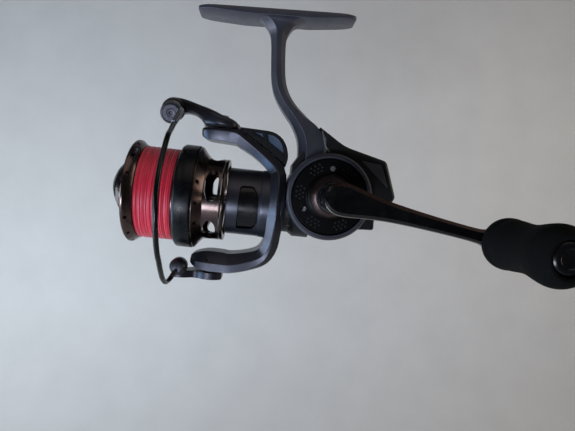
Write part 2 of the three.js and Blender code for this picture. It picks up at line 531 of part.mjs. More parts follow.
// Both arms and the bridge behind the cup are one bent bar. Each station is
// [x, z, outward angle, inner, outer, half width, inner half width, outer half width, ridge], where inner and
// outer are distances from the ridge line and ridge is half the height of the flat on the bar's side.
const ARMS = [
  [-53.9, 27.9, 90, 2.2, 1.0, 6.4, 5.2, 5.6, 0.2], [-52.0, 28.0, 90, 3.5, 1.3, 8.0, 7.0, 6.6, 0.2],
  [-47.0, 28.2, 90, 3.9, 1.3, 8.9, 7.8, 7.0, 0.2], [-41.0, 28.1, 86, 4.1, 1.4, 9.0, 7.8, 7.0, 0.2],
  [-36.6, 26.0, 66, 3.6, 1.9, 9.0, 7.6, 6.6, 0.2], [-31.0, 22.2, 56, 2.8, 2.5, 9.0, 7.6, 6.6, 0.2],
  [-25.6, 18.4, 52, 2.9, 2.8, 9.6, 8.0, 7.0, 0.2], [-21.6, 14.4, 32, 3.2, 3.2, 11.4, 9.4, 8.6, 0.2],
  [-20.6, 8.6, 4, 3.4, 2.9, 15.0, 12.6, 11.6, 0.2], [-20.6, 0, 0, 3.7, 3.0, 16.6, 14.0, 13.2, 0.2],
  [-20.6, -8.6, -4, 3.5, 2.9, 15.0, 12.6, 11.6, 0.3], [-21.4, -16.6, -16, 3.4, 3.3, 11.2, 9.2, 8.4, 0.5],
  [-24.0, -22.4, -48, 4.2, 3.0, 9.4, 6.8, 7.0, 1.0], [-30.0, -26.0, -68, 5.2, 2.4, 9.0, 5.4, 6.6, 1.5],
  [-37.0, -28.0, -76, 5.9, 2.2, 9.0, 5.2, 6.8, 1.7], [-41.0, -28.2, -90, 6.2, 2.0, 8.8, 5.2, 6.8, 1.7],
  [-47.0, -28.2, -90, 6.3, 2.0, 8.2, 5.0, 6.6, 1.7], [-51.6, -27.6, -90, 4.6, 1.8, 7.2, 4.4, 5.6, 1.4],
  [-53.9, -26.6, -90, 2.4, 1.2, 5.6, 3.6, 4.4, 0.8],
];

function rotorArms() {
  const stations = ARMS.map(([x, z, angle, inner, outer, half, innerHalf, outerHalf, ridge]) => {
    const [nx, nz] = [Math.cos(degrees(angle)), Math.sin(degrees(angle))];
    const right = [[-inner, innerHalf], [-ridge, half], [ridge, half], [outer, outerHalf]];
    const left = right.map(([out, y]) => [out, -y]).reverse();
    return [...right, ...left].map(([out, y]) => [x + out * nx, y, z + out * nz]);
  });
  return loft(stations);
}

// The cup's wall has an opening on each side, which the liner fills from inside: [x, z] of its edge.
const CUP_WINDOW = [[-35.9, 6.8, 1], [-30.4, 7.2, 1.4], [-28.1, 3.2, 1.5], [-27.8, -7.3, 1.5], [-29.5, -10.4, 1.2],
  [-36.3, -10.8, 1]];

function rotorBody() {
  const cup = turned([[CUP.front, 0], [CUP.front, CUP.radius - 0.3], [CUP.front + 0.4, CUP.radius],
    [-27.4, CUP.radius], [-26.6, 14.7], [-22, 14.9], [-18.6, 14.6], [REAR_EDGE, 14.0], [REAR_EDGE, 0]], { sides: 32 });
  const window = cut(slabY(CUP_WINDOW, -20, 20), rod(-50, -10, CUP.inner - 0.15, { sides: 32 }));
  const front = turned([[-45, 0], [-45, CUP.inner], [-31.6, CUP.inner], [-31.6, 7.4], [-35, 7.4], [-35, 0]],
    { sides: 32 });
  const rear = turned([[-27.6, 0], [-27.6, 12.6], [-10, 12.6], [-10, 0]]);
  const bore = rod(-50, -10, 3.75, { sides: 24 });
  const pivots = [[25, 40], [-40, -25]].map(([from, to]) =>
    rod(from, to, 1.6, { ...Z_AXIS(BAIL_X, 0), sides: 14 }));
  const slot = slabY([[-36.4, -20.3], [-27.4, -16.1], [-26.0, -17.9], [-35.2, -22.2]], -2.6, 2.6);
  const whole = union(cut(cup, window), rotorArms());
  return cut(whole, front, rear, bore, slot, ...pivots);
}

// The triangular cover on the outside of the upper arm, with two shallow panels on each side.
function armGusset() {
  const plate = slabY([[-38.6, 30.9], [-24.2, 30.6, 3], [-19.6, 27.4, 4], [-17.4, 21.2, 3],
    [-18.4, 16.6], [-23.6, 21.0], [-29.4, 24.7], [-35.6, 28.2], [-38.8, 29.4]], -6.4, 6.4, { bevel: 0.4, steps: 3 });
  const panels = [[[-33.6, 29.4, 0.5], [-29.4, 29.3, 0.4], [-28.4, 26.7, 0.4]],
    [[-27.6, 29.2, 0.6], [-24.6, 29.0, 1.6], [-21.0, 26.4, 2], [-19.3, 21.0, 0.6], [-26.8, 26.0, 0.5]]];
  const recesses = panels.flatMap((points) => [slabY(points, -9, -4.9), slabY(points, 4.9, 9)]);
  return cut(plate, ...recesses);
}

function rotorLiner() {
  const [middleX, middleZ, shrink] = [-32, -1.8, 0.93];
  const edge = CUP_WINDOW.map(([x, z, radius]) =>
    [middleX + (x - middleX) * shrink, middleZ + (z - middleZ) * shrink, radius]);
  const pads = slabY(edge, -20, 20).intersect(
    union(tube(-40, -31.9, 12, 13.4, { sides: 32 }), tube(-40, -20, CUP.inner + GAP, 13.4, { sides: 32 })));
  return union(tube(-38.5, -31.9, 11.3, 12.2, { sides: 32 }), pads);
}

function pinion() {
  const module = (2 * PINION.tip) / (PINION.teeth + 2 * ADDENDUM);
  const teeth = gearOutline(0, 0, PINION.teeth, module, 0);
  const toothed = solid(extruded(teeth, 5.4)
    .rotateY(Math.PI / 2).translate(-13.2, 0, 0));
  const sleeve = turned([[-39.4, 0], [-39.4, 3.1], [-39, 3.35], [-13.4, 3.35], [-13, 2.6], [-7.6, 2.6], [-7.6, 0]],
    { sides: 32 });
  return cut(union(toothed, sleeve), rod(-50, 0, SHAFT_R + 0.08, { sides: 24 }));
}

function makeRotor() {
  add('rotor', 'rotor', rotorBody());
  add('rotor_liner', 'gloss', rotorLiner());
  add('arm_gusset', 'black', armGusset());
  add('pinion', 'brass', pinion());
  add('clutch_sleeve', 'steel', tube(-23.4, -18, 3.5, 4.8, { sides: 24 }));
  add('rotor_nut', 'steel', hexNut(-38.4, 2.6, 6.4, 3.65, 0.3));
}

// ---- Bail ---------------------------------------------------------------------------------------------

// The lever on the upper arm: [x, low z, high z, middle y, half width].
const LEVER = [
  [-39.6, 30.1, 31.8, 0, 3.0], [-40.6, 29.95, 33.3, 0, 5.2], [-43.5, 29.9, 34.5, 0, 7.2],
  [-47.0, 29.9, 35.6, 0, 7.6], [-50.6, 29.9, 37.0, 0.2, 7.0], [-53.6, 30.2, 37.9, 0.6, 5.9],
  [-55.4, 32.4, 38.5, 1.0, 4.9], [-58.4, 34.3, 39.4, 1.5, 3.9], [-61.6, 34.9, 40.3, 2.1, 3.2],
  [-64.8, 34.3, 41.0, 2.5, 2.6], [-68.0, 34.0, 41.2, 2.6, 2.3],
];

const rollerWay = new THREE.Vector3(...ROLLER.boss).sub(new THREE.Vector3(...ROLLER.cap));
const rollerLength = rollerWay.length();
const ROLLER_LINE = { from: ROLLER.cap, along: rollerWay.toArray() };

function bailLever() {
  const stations = LEVER.map(([x, low, high, middle, half]) => {
    const [edge, side] = [(high - low) * 0.3, half * 0.62];
    return [[side, low], [half, low + edge], [half, high - edge], [side, high], [-side, high],
      [-half, high - edge], [-half, low + edge], [-side, low]].map(([y, z]) => [x, middle + y, z]);
  });
  const boss = turned([[rollerLength - 3.4, 0], [rollerLength - 3.4, 4.4], [rollerLength - 2.8, 4.9],
    [rollerLength + 0.6, 4.9], [rollerLength + 1.4, 3.9], [rollerLength + 1.4, 0]],
  { ...ROLLER_LINE, sides: 16 });
  const pivot = union(rod(20, 40, 1.75, { ...Z_AXIS(BAIL_X, 0), sides: 16 }),
    rod(34.2, 45, 3.3, { ...Z_AXIS(BAIL_X, 0), sides: 16 }));
  const pinHole = rod(0, rollerLength - 0.8, 1.4, { ...ROLLER_LINE, sides: 14 });
  return cut(union(loft(stations), boss), pivot, pinHole);
}

// The bail wire from the roller cap round the spool to its holder.
const WIRE = [
  [-63.4, -17.4, 27.8], [-62.6, -25.2, 24.4], [-62.0, -31.3, 21.9], [-61.9, -36.0, 16.3], [-61.8, -40.3, 9.4],
  [-61.6, -42.6, 2.5], [-61.3, -43.0, -4.0], [-61.1, -41.6, -10.5], [-61.0, -37.2, -18.3], [-60.9, -32.8, -23.2],
  [-61.0, -28.0, -27.5], [-61.1, -22.6, -31.5], [-60.9, -17.6, -33.9], [-60.1, -13.6, -33.3], [-59.0, -11.8, -30.9],
];
const WIRE_R = 0.9;

function rollerCap() {
  const disc = turned([[-0.9, 0], [-0.9, 3.2], [-0.4, 4.0], [1.2, 4.2], [1.6, 3.9], [1.6, 0]],
    { ...ROLLER_LINE, sides: 16 });
  const stub = bar([[-62.6, -9.4, 33.6], [-62.7, -11.8, 32.4], [-63.0, -14.6, 30.0], [-63.4, -17.2, 28.0]], 1.15, 6, 8);
  return cut(union(disc, stub), rod(-0.2, 3, 1.2, { ...ROLLER_LINE, sides: 14 }));
}

function bailHolder() {
  const plate = slabZ([[-40.4, -4.6, 3], [-40.4, 4.6, 3], [-50, 5.2, 3], [-56.6, -1.2, 1], [-60.6, -3.2, 2],
    [-60.6, -8.6, 2], [-56, -8.8, 2], [-50, -6.6, 3]], -33.6, -30.6, { bevel: 0.6, steps: 2 });
  const boss = turned([[-10.7, 0], [-10.7, 2.6], [-9.9, 3.4], [-4.4, 3.5], [-3.4, 2.6], [-3.4, 0]],
    { ...Y_AXIS(-58.3, -29.0), sides: 16 });
  const pivot = union(rod(-40, -20, 1.75, { ...Z_AXIS(BAIL_X, 0), sides: 16 }),
    rod(-40, -32.6, 3.2, { ...Z_AXIS(BAIL_X, 0), sides: 16 }));
  return cut(union(plate, boss), pivot);
}

function pivotScrew(headAt, tipAt, headRadius) {
  const way = Math.sign(tipAt - headAt);
  const place = { ...Z_AXIS(BAIL_X, 0), sides: 16 };
  return turned([[headAt, 0], [headAt, headRadius - 0.4], [headAt + way * 0.3, headRadius],
    [headAt + way * 1.0, headRadius], [headAt + way * 1.0, 1.5], [tipAt, 1.5], [tipAt, 0]], place);
}

function makeBail() {
  add('bail_lever', 'rotor', bailLever());
  add('roller_cap', 'steel', rollerCap());
  add('bail_wire', 'gloss', bar(WIRE, WIRE_R, 40, 8));
  add('bail_holder', 'rotor', bailHolder());
  add('bail_screw_upper', 'steel', pivotScrew(35.5, 25.4, 2.9));
  add('bail_screw_lower', 'steel', pivotScrew(-33.9, -25.4, 2.9));
  add('roller_pin', 'steel', rod(0.1, rollerLength - 1.1, 1.1, { ...ROLLER_LINE, sides: 14 }));
}

function makeLineRoller() {
  add('line_roller', 'steel', ring([[2.0, 2.6], [2.0, 3.9], [2.6, 4.0], [4.0, 3.2], [5.4, 3.0], [6.8, 3.4],
    [7.8, 4.1], [8.4, 4.1], [8.4, 2.6]], { ...ROLLER_LINE, sides: 20 }));
  add('roller_bearing', 'steel', bearing(3.0, 7.4, 1.2, 2.5, { ...ROLLER_LINE, sides: 20 }));
}

makeBody();
makeDrive();
makeKnob();
makeOscillation();
makeShaft();
makeSpool();
makeDragKnob();
makeRotor();
makeBail();
makeLineRoller();

group.position.set(-SEAT.x, 0, -SEAT.z);
export default group;
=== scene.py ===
"""Looks of the spinning reel. Lengths in the tables are millimetres in the reel's own frame: x = 0 is the
drive shaft, z = 0 the main shaft, -x the spool and -y the handle."""

import json
import math

import bmesh
import bpy
from mathutils import Matrix, Vector


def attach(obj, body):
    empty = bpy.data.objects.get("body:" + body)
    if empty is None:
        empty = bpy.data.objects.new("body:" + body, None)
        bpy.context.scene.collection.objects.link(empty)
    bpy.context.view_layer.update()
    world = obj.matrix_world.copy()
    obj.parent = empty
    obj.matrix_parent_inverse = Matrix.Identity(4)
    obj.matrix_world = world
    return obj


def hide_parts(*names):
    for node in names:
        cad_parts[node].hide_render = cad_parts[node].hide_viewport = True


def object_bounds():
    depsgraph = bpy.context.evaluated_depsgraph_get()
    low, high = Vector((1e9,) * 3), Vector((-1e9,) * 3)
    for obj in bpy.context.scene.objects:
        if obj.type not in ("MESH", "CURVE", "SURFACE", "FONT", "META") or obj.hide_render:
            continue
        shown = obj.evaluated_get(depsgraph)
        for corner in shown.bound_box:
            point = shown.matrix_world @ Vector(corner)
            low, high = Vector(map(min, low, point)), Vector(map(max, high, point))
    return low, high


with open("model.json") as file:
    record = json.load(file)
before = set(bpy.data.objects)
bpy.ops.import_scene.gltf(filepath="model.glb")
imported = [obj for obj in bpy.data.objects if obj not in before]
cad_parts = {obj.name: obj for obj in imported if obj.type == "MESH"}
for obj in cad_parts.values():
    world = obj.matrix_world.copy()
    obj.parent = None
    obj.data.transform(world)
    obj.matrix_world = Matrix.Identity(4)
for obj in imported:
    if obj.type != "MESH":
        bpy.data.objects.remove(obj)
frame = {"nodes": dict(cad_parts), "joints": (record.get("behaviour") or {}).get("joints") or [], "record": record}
cad_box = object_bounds()

MM = 0.001
JOINTS = {joint["name"]: joint for joint in frame["joints"]}
DRIVE = Vector(JOINTS["handle_turn"]["pos_m"])
SHAFT_Z = JOINTS["rotor_turn"]["pos_m"][2]
ORIGIN = Vector((DRIVE.x, 0, SHAFT_Z))
KNOB = Vector(JOINTS["knob_turn"]["pos_m"])


def at(x, y, z):
    """A point of the reel's own frame, in millimetres, as a place in the scene, in metres."""
    return ORIGIN + Vector((x, y, z)) * MM


# ---- Materials --------------------------------------------------------------------------------------------


class Material:
    """A principled material on object coordinates, which are the row frame in metres."""

    def __init__(self, name, **sockets):
        self.material = bpy.data.materials.new(name)
        self.material.use_nodes = True
        self.tree = self.material.node_tree
        self.shader = self.tree.nodes["Principled BSDF"]
        for socket, value in sockets.items():
            self.shader.inputs[socket.replace("_", " ")].default_value = value
        self.position = self.add("ShaderNodeTexCoord").outputs["Object"]

    def add(self, kind, inputs=(), **settings):
        """A new shader node; each input is a value or another node's output."""
        node = self.tree.nodes.new(kind)
        for name, value in settings.items():
            setattr(node, name, value)
        for key, value in dict(inputs).items():
            if isinstance(value, bpy.types.NodeSocket):
                self.tree.links.new(value, node.inputs[key])
            else:
                node.inputs[key].default_value = value
        return node

    def noise(self, size, detail=4.0, where=None, stretch=(1, 1, 1)):
        """Noise whose features are about size millimetres, stretched along each axis."""
        scale = [1 / (size * MM * s) for s in stretch]
        mapped = self.add("ShaderNodeVectorMath", {0: where or self.position, 1: scale},
                          operation="MULTIPLY")
        return self.add("ShaderNodeTexNoise",
                        {"Vector": mapped.outputs[0], "Scale": 1.0, "Detail": detail}).outputs[0]

    def cells(self, size):
        """Distance from the middle of the nearest of many cells of about size millimetres."""
        settings = {"Vector": self.position, "Scale": 1 / (size * MM)}
        return self.add("ShaderNodeTexVoronoi", settings).outputs["Distance"]

    def math(self, operation, a, b=0.0):
        """Two values through a math node."""
        return self.add("ShaderNodeMath", {0: a, 1: b}, operation=operation).outputs[0]

    def around(self, axis, centre):
        """(distance along the axis, distance from it, 0): turned marks run round the axis."""
        local = self.add("ShaderNodeVectorMath", {0: self.position, 1: centre},
                         operation="SUBTRACT").outputs[0]
        x, y, z = self.add("ShaderNodeSeparateXYZ", {0: local}).outputs
        along, a, b = {"X": (x, y, z), "Y": (y, x, z)}[axis]
        square = self.math("ADD", self.math("MULTIPLY", a, a), self.math("MULTIPLY", b, b))
        radius = self.math("SQRT", square)
        return self.add("ShaderNodeCombineXYZ", {0: along, 1: radius}).outputs[0]

    def ramp(self, value, stops):
        """A colour from a value, by stops that list (value, colour)."""
        ramp = self.add("ShaderNodeValToRGB", {0: value})
        elements = ramp.color_ramp.elements
        while len(elements) < len(stops):
            elements.new(0.5)
        for element, (place, colour) in zip(elements, stops):
            element.position = place
            element.color = (*colour, 1)
        return ramp.outputs[0]

    def span(self, value, low, high):
        """Noise, which lies mostly between 0.3 and 0.7, brought to low and high."""
        return self.add("ShaderNodeMapRange", {0: value, 1: 0.3, 2: 0.7, 3: low, 4: high}).outputs[0]

    def bump(self, height, depth, normal=None):
        """depth is how far the surface moves, in millimetres."""
        inputs = {"Height": height, "Strength": 1.0, "Distance": depth * MM}
        if normal is not None:
            inputs["Normal"] = normal
        return self.add("ShaderNodeBump", inputs).outputs[0]

    def set(self, socket, value):
        """Drives one of the material's own inputs."""
        self.tree.links.new(value, self.shader.inputs[socket])


def shade(colour, factor):
    """The colour made lighter or darker."""
    return tuple(min(1.0, c * factor) for c in colour)


def paint(name, colour, roughness, metallic, wear=0.25):
    """Sprayed metallic finish: slow tone drift, fine flake, small rubbed patches."""
    m = Material(name, Metallic=metallic)
    drift = m.noise(9, 3)
    fine = m.noise(0.22, 2)
    tones = [(0.3, shade(colour, 1 - wear)), (0.52, colour), (0.75, shade(colour, 1 + wear))]
    m.set("Base Color", m.ramp(drift, tones))
    rub = m.math("ADD", m.math("MULTIPLY", m.noise(2.5, 5), 0.7), m.math("MULTIPLY", fine, 0.3))
    m.set("Roughness", m.span(rub, roughness * 0.82, roughness * 1.2))
    m.set("Normal", m.bump(fine, 0.02, m.bump(m.noise(3.5, 2), 0.01)))
    return m.material


def turned_metal(name, colour, roughness, axis, centre, tint=None):
    """Lathe-turned and anodised metal: fine rings round the axis and a slow change of tint."""
    m = Material(name, Metallic=1.0)
    rings = m.noise(0.16, 3, m.around(axis, centre))
    broad = m.noise(7, 3)
    m.set("Base Color", m.ramp(broad, [(0.3, colour), (0.7, tint or shade(colour, 1.25))]))
    m.set("Roughness", m.span(rings, roughness * 0.75, roughness * 1.3))
    m.set("Normal", m.bump(rings, 0.012))
    return m.material


def steel(name, colour=(0.52, 0.53, 0.55), roughness=0.28):
    """Bare steel with fine lengthwise scratches."""
    m = Material(name, Metallic=1.0)
    scratch = m.noise(0.25, 4, stretch=(6, 1, 1))
    m.set("Base Color", m.ramp(m.noise(4, 3), [(0.3, shade(colour, 0.85)), (0.7, colour)]))
    m.set("Roughness", m.span(scratch, roughness * 0.7, roughness * 1.35))
    m.set("Normal", m.bump(scratch, 0.006))
    return m.material


def gloss(name, colour, roughness, coat):
    """Black lacquer with a slight haze under a clear coat."""
    m = Material(name, Specular_IOR_Level=0.3, Coat_Weight=coat, Coat_Roughness=0.06)
    haze = m.noise(3, 5)
    m.set("Base Color", m.ramp(haze, [(0.3, colour), (0.8, shade(colour, 1.8))]))
    m.set("Roughness", m.span(haze, roughness * 0.8, roughness * 1.3))
    m.set("Normal", m.bump(m.noise(5, 2), 0.008))
    return m.material


def moulded(name, colour, roughness, grain, specular=0.5):
    """Moulded black plastic with a fine spark-eroded grain."""
    m = Material(name, Specular_IOR_Level=specular)
    fine = m.noise(0.3, 3)
    m.set("Base Color", m.ramp(m.noise(6, 4), [(0.3, shade(colour, 0.8)), (0.7, shade(colour, 1.4))]))
    m.set("Roughness", m.span(fine, roughness * 0.85, roughness * 1.15))
    m.set("Normal", m.bump(fine, grain))
    return m.material


def foam(name):
    """Closed-cell foam, a little polished where the hand rubs."""
    m = Material(name, Specular_IOR_Level=0.08)
    pores = m.cells(0.42)
    rub = m.noise(5, 4)
    tones = [(0.3, (0.0022, 0.0022, 0.0024)), (0.55, (0.0032, 0.0032, 0.0032)),
             (0.8, (0.0055, 0.0052, 0.0052))]
    m.set("Base Color", m.ramp(rub, tones))
    m.set("Roughness", m.span(rub, 0.78, 0.95))
    both = m.math("ADD", m.math("MULTIPLY", pores, 0.6), m.math("MULTIPLY", m.noise(0.9, 5), 0.5))
    m.set("Normal", m.bump(both, 0.09))
    return m.material


def braid(name, centre):
    """Wound braid: close turns along the axis, with streaks of faded dye and of painted shade between turns, and a
    pale pink tone of painted sheen.
    """
    m = Material(name, Sheen_Weight=0.15, Specular_IOR_Level=0.5)
    round_axis = m.around("X", centre)
    turns = m.noise(0.34, 2, round_axis)
    streaks = m.noise(1.1, 3, round_axis)
    fibre = m.noise(0.5, 3, stretch=(0.4, 1, 1))
    tone = m.math("ADD", m.math("MULTIPLY", streaks, 0.6), m.math("MULTIPLY", turns, 0.4))
    # The darkest stops paint shade between turns; the palest pink stop is a painted sheen.
    dye_shade_and_sheen_tones = [(0.3, (0.34, 0.006, 0.016)), (0.44, (0.62, 0.016, 0.042)), (0.6, (0.8, 0.034, 0.08)),
            (0.74, (0.92, 0.16, 0.3))]
    m.set("Base Color", m.ramp(tone, dye_shade_and_sheen_tones))
    m.set("Roughness", m.span(fibre, 0.32, 0.5))
    m.set("Normal", m.bump(turns, 0.12, m.bump(fibre, 0.03)))
    return m.material


def washer_felt(name):
    """Woven dark felt, of the drag washers."""
    m = Material(name, Roughness=0.9)
    weave = m.add("ShaderNodeTexWave",
                  {"Vector": m.position, "Scale": 900.0, "Distortion": 1.5}).outputs["Fac"]
    m.set("Base Color", m.ramp(weave, [(0.2, (0.012, 0.012, 0.012)), (0.8, (0.05, 0.05, 0.048))]))
    m.set("Normal", m.bump(weave, 0.05))
    return m.material


SHAFT_CENTRE = tuple(ORIGIN)
DRIVE_CENTRE = (DRIVE.x, 0, DRIVE.z)
BODY = paint("body_paint", (0.088, 0.088, 0.108), 0.36, 0.7, wear=0.14)
ROTOR = paint("rotor_paint", (0.05, 0.052, 0.066), 0.32, 0.75, wear=0.14)
LEVER = paint("lever_paint", (0.042, 0.042, 0.052), 0.32, 0.7, wear=0.2)
BLACK = moulded("moulded_black", (0.0045, 0.0045, 0.005), 0.4, 0.02, 0.35)
COVER = moulded("cover_black", (0.0016, 0.0016, 0.0019), 0.34, 0.02, 0.14)
GLOSS = gloss("gloss_black", (0.0025, 0.0025, 0.003), 0.22, coat=0.2)
SKIRT = gloss("skirt_black", (0.001, 0.0016, 0.0028), 0.3, coat=0.0)
BRONZE = turned_metal("spool_bronze", (0.115, 0.082, 0.086), 0.2, "X", SHAFT_CENTRE, (0.14, 0.105, 0.09))
COLLAR = turned_metal("collar_bronze", (0.085, 0.062, 0.062), 0.3, "Y", DRIVE_CENTRE)
# Copper tone for the handle arm's upper chamfer only: a painted warm reflection.
ARM_CHAMFER_WARM_REFLECTION = turned_metal("arm_chamfer_painted_reflection", (0.11, 0.07, 0.066), 0.24, "Y", DRIVE_CENTRE, (0.13, 0.088, 0.082))
SILVER = steel("polished_steel", (0.62, 0.62, 0.64), 0.18)
# Lighter grey for the floors of the cover's pits: a painted highlight where light catches the dimples.
PIT_HIGHLIGHT = moulded("pit_floor", (0.02, 0.02, 0.022), 0.4, 0.02)
STEEL = steel("satin_steel")
DARK_STEEL = steel("dark_steel", (0.075, 0.072, 0.082), 0.22)
BRASS = turned_metal("brass", (0.5, 0.33, 0.12), 0.3, "Y", DRIVE_CENTRE)
FOAM = foam("grip_foam")
LINE = braid("wound_braid", SHAFT_CENTRE)
FELT = washer_felt("drag_felt")
WIRE = gloss("wire_black", (0.001, 0.0014, 0.0022), 0.24, coat=0.12)
ARM_FACE = gloss("arm_face_black", (0.0012, 0.0012, 0.0014), 0.22, coat=0.15)
# Beige for the thin rim on the handle arm's lower edge: a painted highlight.
ARM_RIM_HIGHLIGHT = turned_metal("arm_rim_painted_highlight", (0.3, 0.28, 0.25), 0.35, "Y", DRIVE_CENTRE)
# Beige-grey for a thin bead along the rear guard's front rim: a painted highlight.
GUARD_RIM_HIGHLIGHT = paint("guard_rim_painted_highlight", (0.1, 0.095, 0.082), 0.4, 0.3)
# Light blue for the gusset's recessed sides: a painted sky reflection, not the part's own colour.
PANEL_SKY_REFLECTION = paint("panel_painted_reflection", (0.13, 0.18, 0.27), 0.36, 0.55, wear=0.08)
INLAY = paint("inlay_paint", (0.075, 0.078, 0.088), 0.4, 0.5, wear=0.15)

# ---- Making pieces ----------------------------------------------------------------------------------------

DRILL_LEAD = 0.8              # a drill starts this far outside the surface
CUT_EDGE = 30                 # degrees over which an edge left by a cut is crisp
THROUGH = 20                  # half the length of a cut that goes right through
LYING = Matrix.Rotation(math.pi / 2, 4, "X")
INWARD = Vector((0, 1, 0))    # from the handle side into the reel
REARWARD = Vector((1, 0, 0))


def finish_mesh(name, bm, materials, body, replaced, sharp=32.0, bevel=0.0, chosen=()):
    """Turns a bmesh in row-frame metres into a smooth-shaded piece. Edges over the sharp angle are crisp, and
    so are the chosen ones; bevel rounds them by that many millimetres."""
    bmesh.ops.recalc_face_normals(bm, faces=bm.faces)
    for face in bm.faces:
        face.smooth = True
    weight = bm.edges.layers.float.new("bevel_weight_edge")
    for edge in bm.edges:
        if edge in chosen or (edge.is_manifold and edge.calc_face_angle(0) > math.radians(sharp)):
            edge.smooth = False
            edge[weight] = 1.0
    mesh = bpy.data.meshes.new(name)
    bm.to_mesh(mesh)
    bm.free()
    piece = bpy.data.objects.new(name, mesh)
    bpy.context.scene.collection.objects.link(piece)
    for material in materials if isinstance(materials, (list, tuple)) else [materials]:
        mesh.materials.append(material)
    if bevel:
        modifier = piece.modifiers.new("edges", "BEVEL")
        modifier.width = bevel * MM
        modifier.segments = 2
        modifier.limit_method = "WEIGHT"
        modifier.harden_normals = True
    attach(piece, body)
    if replaced:
        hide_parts(*([replaced] if isinstance(replaced, str) else replaced))
    return piece


BODY_OF = {node: body for body, nodes in frame["record"]["behaviour"]["bodies"].items() for node in nodes}
SLOT_OF = {row["node"]: row["material_slot"] for row in frame["record"]["subparts"]}


def skin(node, material, bevel):
    """The CAD node's own shape, welded, with its flat triangles joined and crisp edges."""
    bm = bmesh.new()
    bm.from_mesh(frame["nodes"][node].data)
    bmesh.ops.remove_doubles(bm, verts=bm.verts, dist=2e-6)
    bmesh.ops.dissolve_limit(bm, angle_limit=math.radians(0.6), verts=bm.verts, edges=bm.edges)
    return finish_mesh(node + ".skin", bm, material, BODY_OF[node], node, 26, bevel)


def smooth_line(points, steps=6):
    """A Catmull-Rom curve through points of any dimension."""
    out = []
    for i in range(len(points) - 1):
        p = [points[max(0, min(len(points) - 1, i + k))] for k in (-1, 0, 1, 2)]
        for step in range(steps):
            t = step / steps
            out.append(tuple(
                0.5 * (2 * b + (c - a) * t + (2 * a - 5 * b + 4 * c - d) * t * t
                       + (3 * b - a - 3 * c + d) * t ** 3)
                for a, b, c, d in zip(*p)))
    return out + [tuple(points[-1])]


def turned(name, profile, axis, centre, material, body, replaced, sides=96, sharp=28.0, closed=False):
    """A solid of revolution about X, Y or Z through centre. profile lists (along, radius) in millimetres."""
    bm = bmesh.new()
    rings = []
    for along, radius in profile:
        count = sides if radius > 1e-6 else 1
        ring = []
        for i in range(count):
            angle = 2 * math.pi * i / sides
            a, b = radius * math.cos(angle), radius * math.sin(angle)
            point = {"X": Vector((along, a, b)), "Y": Vector((a, along, b)),
                     "Z": Vector((a, b, along))}[axis]
            ring.append(bm.verts.new(Vector(centre) + point * MM))
        rings.append(ring)
    pairs = list(zip(rings, rings[1:])) + ([(rings[-1], rings[0])] if closed else [])
    for low, high in pairs:
        for i in range(sides):
            j = (i + 1) % sides
            corners = [low[i % len(low)], low[j % len(low)], high[j % len(high)], high[i % len(high)]]
            unique = list(dict.fromkeys(corners))
            if len(unique) > 2:
                bm.faces.new(unique)
    return finish_mesh(name, bm, material, body, replaced, sharp)


def add_ring_loft(bm, rings, slots=None):
    """Joins and caps rings of equally many points; slots gives each strip's material index round the ring."""
    verts = [[bm.verts.new(point) for point in ring] for ring in rings]
    count = len(rings[0])
    for low, high in zip(verts, verts[1:]):
        for i in range(count):
            j = (i + 1) % count
            face = bm.faces.new((low[i], low[j], high[j], high[i]))
            face.material_index = slots[i] if slots else 0
    bm.faces.new(verts[0][::-1])
    bm.faces.new(verts[-1])
    return verts


def loft(name, rings, lines, material, body, replaced, bevel, sharp):
    """A skin over rings of points, crisp along the numbered lines that run from ring to ring."""
    bm = bmesh.new()
    verts = add_ring_loft(bm, rings)
    chosen = set()
    for low, high in zip(verts, verts[1:]):
        chosen |= {bm.edges.get((low[i], high[i])) for i in lines}
    return finish_mesh(name, bm, material, body, replaced, sharp, bevel, chosen)


def rounded(points, steps=4):
    """A closed outline with rounded corners: each point is (a, b) or (a, b, radius)."""
    out = []
    for i, point in enumerate(points):
        here = Vector(point[:2])
        radius = point[2] if len(point) > 2 else 0
        if not radius:
            out.append(here)
            continue
        ends = []
        for other in (points[i - 1], points[(i + 1) % len(points)]):
            way = Vector(other[:2]) - here
            ends.append(here + way.normalized() * min(radius, way.length * 0.49))
        for step in range(steps + 1):
            t = step / steps
            out.append(ends[0] * (1 - t) ** 2 + here * 2 * t * (1 - t) + ends[1] * t ** 2)
    return out


def plate(name, outline, near, far, material, body, replaced, bevel, normal="Y"):
    """A slab with an outline in x and z from y = near to y = far, or in x and y from z = near to z = far."""
    points = rounded(outline)
    bm = bmesh.new()
    add_ring_loft(bm, [[at(a, depth, b) if normal == "Y" else at(a, b, depth) for a, b in points]
                       for depth in (near, far)])
    return finish_mesh(name, bm, material, body, replaced, sharp=35.0, bevel=bevel)


def slab_tool(outline, near, far):
    """A slab from y = near to y = far, to cut with."""
    bm = bmesh.new()
    add_ring_loft(bm, [[at(a, depth, b) for a, b in rounded(outline)] for depth in (near, far)])
    bmesh.ops.recalc_face_normals(bm, faces=bm.faces)
    return bm


def mirrored(half):
    """A symmetrical section from its right half, which lists (out, side)."""
    return half + [(out, -side) for out, side in reversed(half)]


def add_rod(bm, place, radius, length, sides):
    """A closed cylinder along its own z, in millimetres."""
    bmesh.ops.create_cone(bm, cap_ends=True, segments=sides, radius1=radius * MM, radius2=radius * MM,
                          depth=length * MM, matrix=place)


def holes(piece, spots, radius, depth, sides=12):
    """Drills blind holes. Each spot is (point on the surface, inward direction), in metres."""
    bm = bmesh.new()
    for point, inward in spots:
        turn = inward.normalized().to_track_quat("Z", "Y").to_matrix().to_4x4()
        middle_depth = (depth - DRILL_LEAD) / 2
        place = Matrix.Translation(point + inward.normalized() * middle_depth * MM) @ turn
        add_rod(bm, place, radius, depth + DRILL_LEAD, sides)
    carve_with(piece, bm, piece.name + "_drill")


